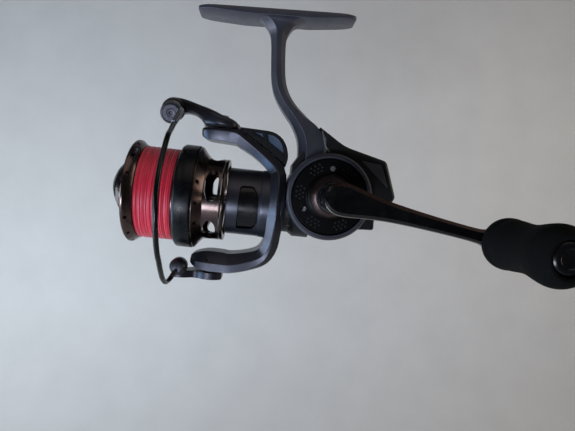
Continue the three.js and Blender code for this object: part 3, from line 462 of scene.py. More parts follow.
def carve_with(piece, bm, name):
    """Cuts the closed meshes in bm out of the piece and makes the result its mesh."""
    mesh = bpy.data.meshes.new(name)
    bm.to_mesh(mesh)
    bm.free()
    tool = bpy.data.objects.new(name, mesh)
    bpy.context.scene.collection.objects.link(tool)
    modifier = piece.modifiers.new(name, "BOOLEAN")
    modifier.object = tool
    modifier.solver = "EXACT"
    modifier.operation = "DIFFERENCE"
    bpy.context.view_layer.update()
    graph = bpy.context.evaluated_depsgraph_get()
    made = bpy.data.meshes.new_from_object(piece.evaluated_get(graph))
    piece.modifiers.clear()
    bpy.data.objects.remove(tool)
    sharpen(made, CUT_EDGE)
    piece.data = made


def sharpen(mesh, angle):
    """Makes every edge over the angle crisp."""
    bm = bmesh.new()
    bm.from_mesh(mesh)
    for edge in bm.edges:
        if edge.is_manifold and edge.calc_face_angle(0) > math.radians(angle):
            edge.smooth = False
    bm.to_mesh(mesh)
    bm.free()


def repaint(piece, material, chosen):
    """Gives the faces whose (centre, normal) pass chosen another material."""
    piece.data.materials.append(material)
    for face in piece.data.polygons:
        if chosen(face.center, face.normal):
            face.material_index = len(piece.data.materials) - 1


# ---- Spool ------------------------------------------------------------------------------------------------

WINDOWS = 5
WINDOW_TURN = 0.22            # of the way from one window to the next, so that a strut faces the handle side
WINDOW_INNER, WINDOW_OUTER = 12.5, 19.5         # radii between which the wedges cut

spool = turned("spool_body", [(-80.45, 20.6), (-80.3, 21.15), (-79.9, 21.45), (-79.5, 21.5), (-79.1, 21.4),
                              (-76.75, 19.5), (-76.5, 19.2), (-76.5, 12.8), (-61.5, 12.8), (-61.5, 19.8),
                              (-53.6, 19.8), (-53.6, 21.3), (-53.3, 21.35), (-51.35, 18.75), (-50.9, 18.35),
                              (-50.2, 17.5), (-49.9, 17.3), (-43.4, 17.2), (-43.4, 14.9), (-57.0, 14.8),
                              (-57.0, 2.3), (-72.2, 2.3), (-72.2, 11.2), (-78.6, 11.4), (-78.9, 11.8),
                              (-78.9, 17.0), (-79.2, 18.6)], "X", SHAFT_CENTRE, BRONZE, "spool_unit",
               "spool", closed=True)


def window_ring(number, radius):
    """The outline of one window, drawn on a cylinder: x, and the share of half the pitch to each side."""
    half = [(-49.7, 0.22), (-48.9, 0.45), (-47.9, 0.62), (-46.4, 0.64), (-45.0, 0.5), (-44.4, 0.32)]
    out = []
    for x, part in mirrored(half):
        angle = (number + WINDOW_TURN) * 2 * math.pi / WINDOWS + part * math.pi / WINDOWS
        out.append(at(x, radius * math.cos(angle), radius * math.sin(angle)))
    return out


def window_tool():
    """Wedges through the skirt's wall, one for each window."""
    bm = bmesh.new()
    for i in range(WINDOWS):
        add_ring_loft(bm, [window_ring(i, WINDOW_INNER), window_ring(i, WINDOW_OUTER)])
    bmesh.ops.recalc_face_normals(bm, faces=bm.faces)
    return bm


carve_with(spool, window_tool(), "windows")

HOLES_ROUND = 15
HOLE_TURN = 0.69              # of the way from one hole to the next
# x, radius and lean of the holes in the lip and in the skirt.
HOLE_RINGS = ((-78.4, 20.85, -0.5), (-52.3, 20.0, -0.7))
drilled = []
for i in range(HOLES_ROUND):
    angle = 2 * math.pi * (i + HOLE_TURN) / HOLES_ROUND
    out = Vector((0, math.cos(angle), math.sin(angle)))
    for x, radius, lean in HOLE_RINGS:
        drilled.append((at(x, 0, 0) + out * radius * MM, -out + REARWARD * lean))
holes(spool, drilled, radius=0.72, depth=1.2)

LINE_FRONT, LINE_REAR, ARBOR = -76.2, -61.9, 13.0
LINE_RADIUS, TURNS = 19.16, 58
wound = [(LINE_REAR, ARBOR), (LINE_FRONT, ARBOR)]
for i in range(TURNS + 1):
    ridge = 0.055 if i % 2 else -0.055
    wave = 0.1 * math.sin(i * 1.9) + 0.07 * math.sin(i * 0.73 + 1.0)
    shoulder = 0.35 if i in (0, TURNS) else 0
    wound.append((LINE_FRONT + (LINE_REAR - LINE_FRONT) * i / TURNS, LINE_RADIUS + ridge + wave - shoulder))
turned("wound_line", wound, "X", SHAFT_CENTRE, LINE, "spool_unit", "line_winding", sides=128,
       sharp=60, closed=True)

turned("skirt_sleeve", [(-61.1, 20.1), (-61.1, 20.8), (-60.95, 21.1), (-60.4, 21.55), (-59.9, 21.7),
                        (-54.6, 21.7), (-54.15, 21.6), (-53.9, 21.4), (-53.9, 20.1)], "X", SHAFT_CENTRE,
       SKIRT, "spool_unit", "skirt_band", closed=True)
turned("skirt_edge_ring", [(-43.1, 14.9), (-43.1, 16.9), (-42.95, 17.2), (-42.7, 17.35), (-42.5, 17.05),
                           (-42.3, 17.05), (-42.1, 17.35), (-41.8, 17.25), (-41.6, 16.95), (-41.6, 14.9)],
       "X", SHAFT_CENTRE, BRONZE, "spool_unit", "skirt_ring", closed=True, sharp=50)

# ---- Handle -----------------------------------------------------------------------------------------------

knob_centre = (KNOB.x, 0, KNOB.z)
grip = smooth_line([(-48.25, 6.8), (-48.9, 7.9), (-50.2, 8.5), (-52.2, 8.6), (-53.2, 8.3), (-56.5, 8.15),
                    (-60.5, 7.75), (-64.0, 7.6), (-68.0, 7.95), (-72, 8.65), (-75.2, 9.0), (-77.4, 8.7),
                    (-79.4, 7.8), (-80.6, 6.8), (-81.0, 6.2)], 5)
turned("foam_grip", [(-48.25, 4.3)] + grip + [(-80.85, 5.6), (-80.3, 5.15), (-79.0, 5.0), (-79.0, 4.3)],
       "Y", knob_centre, FOAM, "knob", "knob_grip", closed=True, sharp=40)
turned("knob_end_cap", [(-79.9, 0), (-79.95, 2.4), (-80.05, 2.7), (-80.25, 2.9), (-80.25, 3.6),
                        (-80.1, 4.1), (-79.8, 4.6), (-79.3, 4.6), (-79.3, 0)], "Y", knob_centre, GLOSS,
       "knob", "knob_cap", sides=64)

ARM_ANGLE = math.atan2(KNOB.z - DRIVE.z, KNOB.x - DRIVE.x)
# Distance from the drive shaft, half width, y of the outer face, thickness.
ARM = [(-5.5, 1.0, -42.3, 3.4), (-5.2, 2.2, -42.9, 4.6), (-4.5, 3.5, -43.4, 5.8), (-3.2, 4.7, -43.65, 6.4),
       (-1.4, 5.5, -43.7, 6.6), (0.6, 5.75, -43.7, 6.6), (3.5, 5.5, -43.7, 6.6), (7.5, 4.8, -43.9, 6.4),
       (12, 4.1, -44.3, 6.0), (18, 3.4, -44.8, 5.6), (27, 2.85, -45.6, 5.0), (38, 2.5, -46.5, 4.6),
       (47.5, 2.5, -47.3, 4.2), (51.5, 3.4, -47.6, 4.0), (54.5, 4.0, -47.7, 4.0), (57.5, 3.6, -47.7, 4.0),
       (59.4, 2.2, -47.6, 3.6)]


def along_arm(distance, side, y):
    """A point of the handle arm, from the distance along it and the offset to its side."""
    c, s = math.cos(ARM_ANGLE), math.sin(ARM_ANGLE)
    return Vector(DRIVE_CENTRE) + Vector((distance * c - side * s, y, distance * s + side * c)) * MM


bm = bmesh.new()
sections = []
for distance, half, outer, thick in smooth_line(ARM, 4):
    bevel = min(1.35, half * 0.42)
    rim = min(0.28, half * 0.1)
    upper = [(half - bevel - 0.3, outer + 0.55), (half - bevel, outer + 0.02),
             (half - rim, outer + bevel - rim), (half, outer + bevel),
             (half, outer + thick - bevel), (half - bevel, outer + thick)]
    lower = [(-side, y) for side, y in reversed(upper)]
    sections.append([along_arm(distance, side, y) for side, y in upper + lower])
# Upper chamfer copper, lower chamfer gloss black: the copper on one edge is a painted warm reflection.
ARM_MATERIALS = [GLOSS, ARM_CHAMFER_WARM_REFLECTION, ARM_FACE, ARM_RIM_HIGHLIGHT]
# The beige rim strip on the lower edge is a painted highlight.
add_ring_loft(bm, sections, slots=[2, 1, 1, 0, 0, 0, 0, 0, 3, 0, 2, 2])
finish_mesh("handle_arm_body", bm, ARM_MATERIALS, "crank", ["handle_arm", "arm_inlay"], sharp=24)
turned("handle_hub", [(-17.6, 0), (-17.6, 2.9), (-23.0, 2.9), (-23.0, 5.7), (-23.3, 5.95), (-25.8, 5.95),
                      (-26.3, 5.6), (-27.4, 5.2), (-28.5, 5.0), (-36.0, 4.9), (-37.6, 5.2), (-38.2, 5.2),
                      (-38.2, 0)], "Y", DRIVE_CENTRE, GLOSS, "crank", None, sides=64)
turned("hub_collar", [(-18.6, 3.3), (-18.6, 8.1), (-18.8, 8.45), (-19.3, 8.6), (-19.8, 8.45), (-22.3, 6.6),
                      (-22.6, 6.3), (-22.6, 3.3)], "Y", DRIVE_CENTRE, COLLAR, "crank", "handle_collar",
       closed=True)
turned("knob_axle", [(-78.6, 0), (-78.6, 1.9), (-48.3, 1.9), (-48.3, 3.0), (-47.6, 3.2), (-47.6, 1.9),
                     (-43.5, 1.9), (-43.4, 3.0), (-42.8, 3.1), (-42.6, 2.7), (-42.6, 0)], "Y", knob_centre,
       STEEL, "crank", "knob_post", sides=40)

# ---- Side cover -------------------------------------------------------------------------------------------

cover = turned("cover_plate", [(-18.2, 3.6), (-18.2, 8.5), (-17.9, 8.8), (-16.4, 9.2), (-16.05, 9.5),
                               (-15.95, 14.7), (-15.75, 15.1), (-15.5, 15.25), (-13.9, 15.25), (-13.9, 7.4),
                               (-10.2, 7.4), (-10.2, 5.3), (-14.7, 5.3), (-14.7, 3.6)], "Y", DRIVE_CENTRE,
               COVER, "frame", "side_cover", closed=True)
SCREW_ANGLES, SCREW_CIRCLE = (90, 210, 330), 11.35
FACE_Y = -15.98
CLUSTER_OFFSET = 33           # degrees from a screw to the middle of the cluster of pits on each side of it
# Radius, degrees from the middle of the cluster.
PIT_ROWS = ((10.8, (-9, 0, 9)), (12.15, (-12, -4, 4, 12)), (13.5, (-9, -1, 7)))
PIT_FLOOR_Y, PIT_FLOOR_RADII = (-15.9, -15.0), (10, 14.4)


def round_drive(radius, degrees, y):
    """A point beside the drive shaft's axis."""
    turn = math.radians(degrees)
    return Vector(DRIVE_CENTRE) + Vector((radius * math.cos(turn), y, radius * math.sin(turn))) * MM


def pit_floor(centre, normal):
    """True for a face at the bottom of a pit."""
    low, high = PIT_FLOOR_Y
    inner, outer = PIT_FLOOR_RADII
    radius = (centre - Vector(DRIVE_CENTRE)).xz.length
    return low * MM < centre.y < high * MM and inner * MM < radius < outer * MM and normal.y < -0.9


pits = [(round_drive(radius, screw + side * CLUSTER_OFFSET + angle, FACE_Y), INWARD)
        for screw in SCREW_ANGLES for side in (-1, 1) for radius, angles in PIT_ROWS for angle in angles]
holes(cover, pits, radius=0.45, depth=0.45, sides=8)
# The seat of a screw's head and the hole under it: y of the middle, radius, length, sides.
SCREW_CUTS = ((-16.5, 2.1, 3, 28), (-13.5, 1.1, 6, 16))
for angle in SCREW_ANGLES:
    bm = bmesh.new()
    for y, radius, length, sides in SCREW_CUTS:
        add_rod(bm, Matrix.Translation(round_drive(SCREW_CIRCLE, angle, y)) @ LYING, radius, length, sides)
    carve_with(cover, bm, "screw_seat")
sharpen(cover.data, angle=12)
# The pit floors get the lighter grey, a painted highlight.
repaint(cover, PIT_HIGHLIGHT, pit_floor)

# ---- Bail wire --------------------------------------------------------------------------------------------

WIRE_RADIUS = 0.97
WIRE_PATH = [(-63.3, -16.8, 28.2), (-62.6, -25.2, 24.4), (-62.0, -31.3, 21.9), (-61.9, -36.0, 16.3),
             (-61.8, -40.3, 9.4), (-61.6, -42.6, 2.5), (-61.3, -43.0, -4.0), (-61.1, -41.6, -10.5),
             (-61.0, -37.2, -18.3), (-60.9, -32.8, -23.2), (-61.0, -28.0, -27.5), (-61.1, -22.6, -31.5),
             (-60.9, -17.6, -33.75), (-60.1, -13.6, -33.2), (-59.0, -11.6, -30.9)]
TUBE_STEPS = 8


def tube(name, points, radius, material, body, replaced, sides=16):
    """A round bar along a smooth curve."""
    path = [Vector(p) for p in smooth_line([tuple(at(*p)) for p in points], TUBE_STEPS)]
    bm = bmesh.new()
    rings, side = [], None
    for i, point in enumerate(path):
        way = (path[min(i + 1, len(path) - 1)] - path[max(i - 1, 0)]).normalized()
        side = side or way.orthogonal()
        side = (side - way * side.dot(way)).normalized()
        other = way.cross(side)
        rings.append([point + (side * math.cos(a) + other * math.sin(a)) * radius * MM
                      for a in (2 * math.pi * k / sides for k in range(sides))])
    add_ring_loft(bm, rings)
    return finish_mesh(name, bm, material, body, replaced, sharp=60)


tube("bail_loop", WIRE_PATH, WIRE_RADIUS, WIRE, "bail", "bail_wire")

# ---- Body -------------------------------------------------------------------------------------------------

FOOT_TILT = math.radians(3.5)


def foot_point(x, y, z):
    """A point of the foot, whose own frame starts at the middle of the seat and leans with it."""
    c, s = math.cos(FOOT_TILT), math.sin(FOOT_TILT)
    return Vector((x * c - z * s, y, x * s + z * c)) * MM


# Distance along the foot, half width, thickness.
FOOT = [(-32.5, 4.2, 1.45), (-32.2, 5.0, 1.5), (-31.0, 5.9, 1.55), (-28.5, 6.9, 1.7), (-25.5, 7.25, 1.9),
        (-20, 7.3, 2.3), (-14, 7.3, 2.75), (0, 7.3, 2.8), (14, 7.3, 2.75), (20, 7.3, 2.3),
        (25.5, 7.25, 1.9), (28.5, 6.9, 1.7), (31.0, 5.9, 1.55), (32.2, 5.0, 1.5), (32.5, 4.2, 1.45)]


def foot_ring(x, half, thick):
    """A flat section of the foot, with softened corners."""
    section = mirrored([(0, half - 0.15), (-0.5, half), (-thick + 0.2, half), (-thick, half - 0.5)])
    return [foot_point(x, y, z) for z, y in section]


loft("foot_plate", [foot_ring(*station) for station in FOOT], [], BODY, "frame", "body_frame",
     bevel=0.15, sharp=40)

# z, front, rear, half width.
LEG = [(77.6, -38.0, -16.0, 6.2), (76.6, -35.6, -18.4, 6.1), (75.2, -33.2, -20.8, 5.85),
       (72.2, -30.9, -22.7, 5.6), (68.5, -29.8, -23.5, 5.4), (60.0, -28.9, -23.0, 5.4),
       (53.0, -28.1, -22.0, 5.6), (48.0, -26.8, -20.2, 6.0), (43.5, -24.5, -17.0, 6.6),
       (38.5, -20.7, -11.4, 7.4), (34.6, -17.5, -6.2, 8.0), (30.0, -14.9, -3.6, 8.6),
       (26.0, -13.8, -2.6, 9.0), (20.0, -13.4, -2.2, 9.2), (14.0, -13.4, -2.2, 9.2)]


def leg_ring(z, front, rear, half):
    """A flat oval with a long chamfer in front; the one behind fades out where the guard begins."""
    deep = rear - front
    slope, behind = min(3, deep * 0.34), min(2.2, deep * 0.3, max(0.5, (z - 30) * 0.28))
    narrow = half * 0.42
    section = mirrored([(front, narrow), (front + slope, half), (rear - behind, half), (rear, narrow)])
    return [at(x, y, z) for x, y in section]


leg = loft("leg", [leg_ring(*station) for station in smooth_line(LEG, 5)], range(8), BODY, "frame",
           "body_frame", bevel=0.22, sharp=20)

drum = turned("body_drum", [(-13.6, 15.45), (-16.35, 15.45), (-16.5, 15.6), (-16.5, 16.15), (-16.2, 16.25),
                            (-16.2, 16.4), (-16.45, 16.5), (-15.5, 17.35), (-15.1, 17.5), (12.9, 17.5),
                            (13.3, 17.35), (14.35, 16.1), (14.5, 15.7), (14.5, 9.5), (14.7, 9.2),
                            (18.1, 8.8), (18.4, 8.5), (18.4, 3.6), (16.4, 3.6), (16.4, 5.4), (12.8, 5.4),
                            (12.8, 15.0), (-13.6, 15.0)], "Y", DRIVE_CENTRE, BODY, "frame", "body_frame",
              sides=128, closed=True, sharp=22)
ROTOR_ROOM = [(-30, -40), (-17.1, -40), (-17.1, 40), (-30, 40)]
carve_with(drum, slab_tool(ROTOR_ROOM, -THROUGH, THROUGH), "rotor_room")
TAIL = [(-15.6, -7.9), (21.2, -5.8, 1), (21.0, -1.5, 1), (25.8, 6.4, 1.5), (21.8, 20.8, 2), (6, 24.8, 2),
        (-12, 24, 2), (-15.6, 18)]
tail = plate("body_tail", TAIL, -8.6, 8.6, BLACK, "frame", "body_frame", bevel=0.5)
TAIL_CAVITY = [(5, -4.8), (20, -4.8), (20, -1.1), (24, 6.8, 1), (20.4, 19.4, 1), (5, 21.8)]
GEAR_ROOM_RADIUS, GEAR_ROOM_NEAR, GEAR_ROOM_FAR = 14.6, -13.7, 12.2


def gear_room():
    """The round room inside the drum, where the gears turn."""
    bm = bmesh.new()
    middle_y = (GEAR_ROOM_NEAR + GEAR_ROOM_FAR) / 2
    place = Matrix.Translation(Vector(DRIVE_CENTRE) + INWARD * middle_y * MM) @ LYING
    add_rod(bm, place, GEAR_ROOM_RADIUS, GEAR_ROOM_FAR - GEAR_ROOM_NEAR, 64)
    return bm


nose = turned("body_nose", [(-24, 9.1), (-24, 10.5), (-23.5, 11), (-14.6, 11), (-12.5, 12.5), (-6, 12.5),
                            (-6, 4.4), (-13.8, 4.4), (-13.8, 7.2), (-17.9, 7.2), (-17.9, 9.1)], "X",
              SHAFT_CENTRE, BLACK, "frame", "body_frame", closed=True)
for piece in (drum, tail):
    holes(piece, [(at(-17.1, 0, 0), REARWARD)], radius=7.2, depth=6, sides=48)
for piece in (leg, tail, nose):
    carve_with(piece, gear_room(), piece.name + "_room")
for piece in (drum, tail):
    carve_with(piece, slab_tool(TAIL_CAVITY, near=-7.2, far=7.4), piece.name + "_cavity")

# ---- Rotor ------------------------------------------------------------------------------------------------

CUP_WINDOW = [(-35.9, 6.8, 1.2), (-30.4, 7.2, 1.6), (-28.1, 3.2, 1.6), (-27.8, -7.3, 1.5),
              (-29.5, -10.4, 1.4), (-36.3, -10.8, 1.2)]
cup = turned("rotor_cup", [(-41.1, 12.5), (-41.1, 13.8), (-40.95, 14.05), (-40.7, 14.1), (-27.5, 14.1),
                           (-27.3, 14.2), (-26.9, 14.3), (-26.2, 14.35), (-22, 14.5), (-18.6, 14.6),
                           (-17.7, 14.2), (-17.5, 14.0), (-17.5, 12.6), (-27.6, 12.6)], "X", SHAFT_CENTRE,
             ROTOR, "rotor_unit", "rotor", sides=128, closed=True, sharp=25)
carve_with(cup, slab_tool(CUP_WINDOW, -THROUGH, THROUGH), "cup_window")
turned("rotor_web", [(-35, 3.75), (-35, 7.4), (-31.6, 7.4), (-31.6, 12.45), (-27.7, 12.45), (-27.7, 3.75)],
       "X", SHAFT_CENTRE, BLACK, "rotor_unit", "rotor", closed=True)

# Both arms and the bridge behind the cup: x, z, outward angle, depth to the inner and the outer face, half
# width at the ridges, at the inner face and at the outer face, half the height of the ridges.
ARMS = [(-54.1, 27.9, 90, 1.8, 0.8, 6.0, 4.9, 5.2, 0.2), (-53.2, 27.95, 90, 2.9, 1.15, 7.2, 6.2, 6.0, 0.2),
        (-51.0, 28.05, 90, 3.6, 1.3, 8.2, 7.2, 6.7, 0.2), (-47.0, 28.2, 90, 3.9, 1.3, 8.9, 7.8, 7.0, 0.2),
        (-41.0, 28.1, 86, 4.1, 1.7, 9.0, 7.8, 7.0, 0.2), (-38.6, 27.3, 72, 3.8, 2.3, 9.0, 7.6, 6.8, 0.2),
        (-36.6, 26.0, 60, 3.6, 1.9, 9.0, 7.6, 6.6, 0.2), (-31.0, 22.2, 56, 2.8, 2.5, 9.0, 7.6, 6.6, 0.2),
        (-25.6, 18.4, 52, 2.9, 2.8, 9.6, 8.0, 7.0, 0.2), (-21.6, 14.4, 32, 3.2, 3.2, 11.4, 9.4, 8.6, 0.2),
        (-20.6, 8.6, 4, 3.4, 2.9, 15.0, 12.6, 11.6, 0.2), (-20.6, 0, 0, 3.7, 3.0, 16.6, 14.0, 13.2, 0.2),
        (-20.6, -8.6, -4, 3.5, 2.9, 15.0, 12.6, 11.6, 0.3),
        (-21.4, -16.6, -16, 3.4, 3.3, 11.2, 9.2, 8.4, 0.5),
        (-24.0, -22.4, -48, 4.2, 3.0, 9.4, 6.8, 7.0, 1.0),
        (-30.0, -26.0, -68, 5.2, 2.4, 9.0, 5.4, 6.6, 1.5),
        (-37.0, -28.0, -76, 5.9, 2.2, 9.0, 5.2, 6.8, 1.7),
        (-41.0, -28.2, -90, 6.2, 2.0, 8.8, 5.2, 6.8, 1.7),
        (-47.0, -28.2, -90, 6.3, 2.0, 8.2, 5.0, 6.6, 1.7),
        (-51.2, -27.7, -90, 4.9, 1.8, 7.4, 4.5, 5.8, 1.4),
        (-53.2, -27.0, -90, 3.4, 1.4, 6.2, 3.9, 4.9, 1.0),
        (-54.1, -26.5, -90, 2.1, 1.0, 5.3, 3.4, 4.1, 0.7)]


def arm_ring(x, z, angle, inner, outer, half, inner_half, outer_half, ridge):
    """An eight-sided section that leans outwards by angle degrees."""
    nx, nz = math.cos(math.radians(angle)), math.sin(math.radians(angle))
    section = mirrored([(-inner, inner_half), (-ridge, half), (ridge, half), (outer, outer_half)])
    return [at(x + out * nx, y, z + out * nz) for out, y in section]


arms = loft("rotor_arms", [arm_ring(*station) for station in smooth_line(ARMS, 3)], range(8), ROTOR,
            "rotor_unit", "rotor", bevel=0.2, sharp=17)
ARM_SLOT = [(-36.0, -21.4, 0.3), (-27.2, -16.8, 0.3), (-26.9, -17.8, 0.3), (-35.7, -22.8, 0.3)]
carve_with(arms, slab_tool(ARM_SLOT, near=-12, far=-6.4), "arm_slot")
holes(arms, [(at(-46.8, -7.4, -25.3), INWARD)], radius=0.5, depth=1.2)
# Room for the body's nose.
holes(arms, [(at(-26, 0, 0), REARWARD)], radius=12.6, depth=10, sides=96)

# ---- Bail arm ---------------------------------------------------------------------------------------------

# x, bottom, top, middle in y, half width.
LEVER_STATIONS = [(-39.4, 30.1, 31.2, 0, 2.6), (-39.7, 29.95, 32.2, 0, 4.0), (-41.0, 29.92, 33.4, 0, 5.9),
                  (-43.5, 29.9, 34.5, 0, 7.2), (-47.0, 29.9, 35.6, 0, 7.6), (-50.6, 29.9, 37.0, 0.2, 7.0),
                  (-53.0, 29.95, 37.8, 0.5, 6.1), (-54.2, 31.0, 38.2, 0.8, 5.5),
                  (-55.8, 32.8, 38.6, 1.1, 4.8), (-58.4, 34.3, 39.4, 1.5, 3.9),
                  (-61.6, 34.9, 40.3, 2.1, 3.2), (-64.8, 34.3, 41.0, 2.5, 2.6),
                  (-68.0, 34.0, 41.2, 2.6, 2.3)]
LEVER_SIDES = 28


def lever_ring(x, low, high, middle, half):
    """A rounded box: flat below, domed above."""
    centre, tall = (low + high) / 2, (high - low) / 2
    out = []
    for i in range(LEVER_SIDES):
        angle = 2 * math.pi * (i + 0.5) / LEVER_SIDES
        c, s = math.cos(angle), math.sin(angle)
        power = 0.38 if s < 0 else 0.62
        y, z = math.copysign(abs(c) ** power, c), math.copysign(abs(s) ** power, s)
        out.append(at(x, middle + half * y, centre + tall * z))
    return out


lever = loft("lever_body", [lever_ring(*station) for station in smooth_line(LEVER_STATIONS, 5)], [], LEVER,
             "bail", "bail_lever", bevel=0.2, sharp=60)
holes(lever, [(at(-48.0, -4.4, 35.2), Vector((0.15, 0.62, -0.78)))], radius=1.9, depth=1.3, sides=24)
turned("lever_base", [(29.95, 0), (29.95, 7.3), (30.15, 7.5), (31.9, 7.5), (32.5, 7.0), (32.5, 0)], "Z",
       tuple(at(-46.6, 0, 0)), LEVER, "bail", "bail_lever", sides=64)
# The ends of the roller's axis.
ROLLER_NEAR, ROLLER_FAR = at(-66.4, -10, 32.7), at(-67.9, 2, 36.2)


def turned_between(name, profile, start, end, material, body, replaced, sides=48, closed=False):
    """A solid of revolution whose profile starts at start and runs towards end."""
    piece = turned(name, profile, "X", (0, 0, 0), material, body, replaced, sides=sides,
                   closed=closed)
    turn = (end - start).to_track_quat("X", "Z").to_matrix().to_4x4()
    piece.data.transform(Matrix.Translation(start) @ turn)
    return piece


REACH = (ROLLER_FAR - ROLLER_NEAR).length / MM
turned_between("lever_boss", [(REACH - 3.4, 0), (REACH - 3.4, 4.2), (REACH - 3.1, 4.7), (REACH - 2.5, 4.9),
                              (REACH + 0.4, 4.9), (REACH + 1.1, 4.5), (REACH + 1.4, 3.7), (REACH + 1.5, 0)],
               ROLLER_NEAR, ROLLER_FAR, LEVER, "bail", "bail_lever")
turned_between("roller_cap_disc", [(-0.2, 0), (-0.2, 0.5), (-0.75, 0.7), (-0.8, 1.7), (-0.5, 1.9),
                                   (-0.5, 3.3), (-0.8, 3.5), (-0.7, 3.95), (-0.2, 4.2), (1.2, 4.2),
                                   (1.6, 3.9), (1.6, 0)], ROLLER_NEAR, ROLLER_FAR, LEVER, "bail",
               "roller_cap")
tube("wire_ferrule", [(-62.5, -9.6, 34.2), (-62.6, -11.4, 33.1), (-63.0, -14.4, 30.3),
                      (-63.35, -17.0, 28.2)], 1.22, STEEL, "bail", "roller_cap", sides=20)
turned_between("line_roller_ring", [(2.0, 2.6), (2.0, 3.8), (2.2, 4.0), (2.6, 4.0), (3.2, 3.5), (4.0, 3.2),
                                    (5.4, 3.0), (6.2, 3.1), (6.9, 3.5), (7.6, 4.05), (8.2, 4.1), (8.4, 3.9),
                                    (8.4, 2.6)], ROLLER_NEAR, ROLLER_FAR, SILVER, "roller", "line_roller",
               closed=True)
plate("holder_plate", [(-40.4, -4.6, 3), (-40.4, 4.6, 3), (-50, 5.2, 3), (-56.6, -1.2, 1), (-60.6, -3.2, 2),
                       (-60.6, -8.6, 2), (-56, -8.8, 2), (-52.5, -6.4, 1.5), (-50.4, -6.6, 1),
                       (-47.6, -8.2, 2.5), (-43.4, -8.2, 2.5), (-40.6, -6, 2)], -33.6, -30.6, LEVER, "bail",
      "bail_holder", bevel=0.5, normal="Z")
turned("holder_boss", [(-10.4, 0), (-10.4, 2.0), (-10.3, 2.3), (-9.2, 3.3), (-8.8, 3.5), (-5.0, 3.5),
                       (-4.6, 3.3), (-3.4, 2.2), (-3.4, 0)], "Y", tuple(at(-58.3, 0, -29.0)), LEVER, "bail",
       "bail_holder", sides=48)

# ---- Pieces that keep the CAD's shape ---------------------------------------------------------------------

SKINS = {
    "rear_guard": BLACK, "guard_inlay_near": INLAY, "guard_inlay_far": INLAY, "shaft_cap_far": BLACK,
    "rotor_liner": GLOSS, "drag_knob": GLOSS, "cover_screw_1": STEEL, "cover_screw_2": STEEL,
    "cover_screw_3": STEEL, "bail_screw_upper": DARK_STEEL, "bail_screw_lower": DARK_STEEL,
    "rotor_nut": STEEL, "main_shaft": SILVER, "pinion": BRASS,
}
for node, material in SKINS.items():
    skin(node, material, bevel=0.15)

PANEL_HALF_WIDTH = 5.2


def sunk_panel(centre, normal):
    """True for a face of the gusset's recessed sides, which carry the painted blue sky reflection."""
    return abs(normal.y) > 0.9 and abs(centre.y) < PANEL_HALF_WIDTH * MM


# The gusset's recessed sides get the light blue painted reflection.
repaint(skin("arm_gusset", BLACK, bevel=0.12), PANEL_SKY_REFLECTION, sunk_panel)
# A thin beige bead on the guard's front rim, standing in for the rim's highlight: painted highlight.
tube("guard_rim_highlight_line", [(-5.1, -10.2, 32.6), (-4.6, -10.65, 31.0), (-3.8, -10.75, 28.2), (-2.9, -10.75, 26.2),
                   (-1.2, -10.7, 24.4)], 0.3, GUARD_RIM_HIGHLIGHT, "frame", "rear_guard", sides=10)

PLAIN = {"steel": STEEL, "brass": BRASS, "washer": FELT, "black": BLACK, "gloss": GLOSS, "body": BODY,
         "rotor": ROTOR, "bronze": BRONZE, "grip": FOAM, "line": LINE}
for node, thing in frame["nodes"].items():
    thing.data.materials.clear()
    thing.data.materials.append(PLAIN[SLOT_OF[node]])

# ---- Stage ------------------------------------------------------------------------------------------------


def backdrop():
    """A pale floor that curves up into a wall behind the object."""
    m = Material("pale_floor", Roughness=0.9)
    m.set("Base Color", m.ramp(m.noise(60, 3), [(0.3, (0.62, 0.62, 0.615)), (0.7, (0.655, 0.655, 0.65))]))
    m.set("Normal", m.bump(m.noise(1.2, 3), 0.03))
    floor_z, wall_y, bend = -0.62, 0.75, 0.3
    front_y, top_z, half_width = -0.7, 2.2, 3
    section = [(front_y, floor_z), (wall_y - bend, floor_z)]
    section += [(wall_y - bend + bend * math.sin(a), floor_z + bend - bend * math.cos(a))
                for a in (math.radians(9 * k) for k in range(1, 10))]
    section += [(wall_y, top_z)]
    bm = bmesh.new()
    rows = [[bm.verts.new((x, y, z)) for x in (-half_width, half_width)] for y, z in section]
    for low, high in zip(rows, rows[1:]):
        bm.faces.new((low[0], low[1], high[1], high[0])).smooth = True
    mesh = bpy.data.meshes.new("floor")
    bm.to_mesh(mesh)
    bm.free()
    mesh.materials.append(m.material)
    floor = bpy.data.objects.new("floor", mesh)
    bpy.context.scene.collection.objects.link(floor)


def area_light(name, place, target, size, power, colour):
    """A soft lamp of size (width, height) that shines from place to target."""
    light = bpy.data.lights.new(name, "AREA")
    light.shape = "RECTANGLE"
    light.size, light.size_y = size
    light.energy = power
    light.color = colour
    lamp = bpy.data.objects.new(name, light)
    lamp.location = place
    lamp.rotation_mode = "QUATERNION"
    lamp.rotation_quaternion = (Vector(target) - Vector(place)).to_track_quat("-Z", "Y")
    bpy.context.scene.collection.objects.link(lamp)


backdrop()
middle = (cad_box[0] + cad_box[1]) / 2
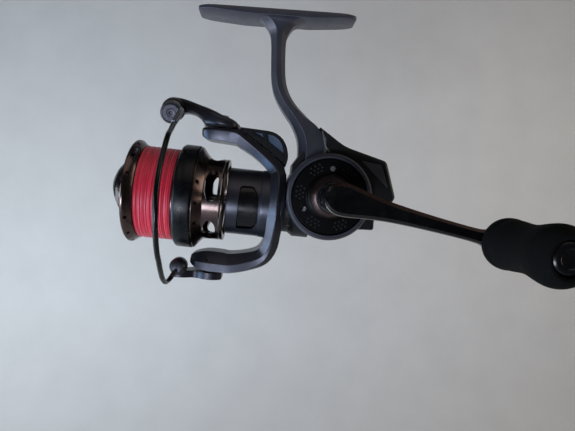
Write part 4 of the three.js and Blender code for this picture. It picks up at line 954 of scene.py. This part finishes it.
# Name, place, target, size, power, colour.
LIGHTS = [
    ("wall_cool", (-0.7, -0.05, -0.4), (-0.3, 0.7, -0.4), (0.5, 0.7), 5.6, (0.88, 0.95, 1.0)),
    ("wall_warm", (0.7, 0.0, 0.1), (0.3, 0.72, -0.25), (0.5, 0.5), 2.0, (1.0, 0.86, 0.7)),
    ("left_window", (-0.66, -0.34, -0.4), middle, (0.36, 0.46), 3.6, (0.4, 0.66, 1.0)),
    ("front_window", (-0.26, -0.85, -0.46), middle, (0.34, 0.2), 4.2, (0.8, 0.86, 1.0)),
    ("room_above", (0.1, -0.7, 1.1), middle, (2.0, 1.0), 3.0, (1.0, 0.86, 0.76)),
]
for settings in LIGHTS:
    area_light(*settings)

ROOM_COLOUR, ROOM_STRENGTH = (0.85, 0.86, 0.9, 1), 0.04
world = bpy.data.worlds.new("room")
bpy.context.scene.world = world
world.use_nodes = True
background = world.node_tree.nodes["Background"].inputs
background["Color"].default_value = ROOM_COLOUR
background["Strength"].default_value = ROOM_STRENGTH

# ---- Camera -----------------------------------------------------------------------------------------------

CAMERA_PLACE = at(-26.83, -187.35, 8.10)
SENSOR_WIDTH, LENS, NEAREST = 36, 27.05, 0.005          # millimetres, millimetres, metres
YAW, PITCH, ROLL = math.radians(3.627), math.radians(3.654), math.radians(6.218)
forward = Vector((math.sin(YAW) * math.cos(PITCH), math.cos(YAW) * math.cos(PITCH), -math.sin(PITCH)))
level = Vector((math.cos(YAW), -math.sin(YAW), 0))
up = level.cross(forward)
right = level * math.cos(ROLL) + up * math.sin(ROLL)
up = right.cross(forward)
camera = bpy.data.objects.new("camera", bpy.data.cameras.new("camera"))
camera.data.sensor_width = SENSOR_WIDTH
camera.data.lens = LENS
camera.data.clip_start = NEAREST
camera.matrix_world = Matrix.Translation(CAMERA_PLACE) @ Matrix((right, up, -forward)).transposed().to_4x4()
bpy.context.scene.collection.objects.link(camera)
bpy.context.scene.camera = camera
bpy.context.scene.view_settings.view_transform = "Standard"
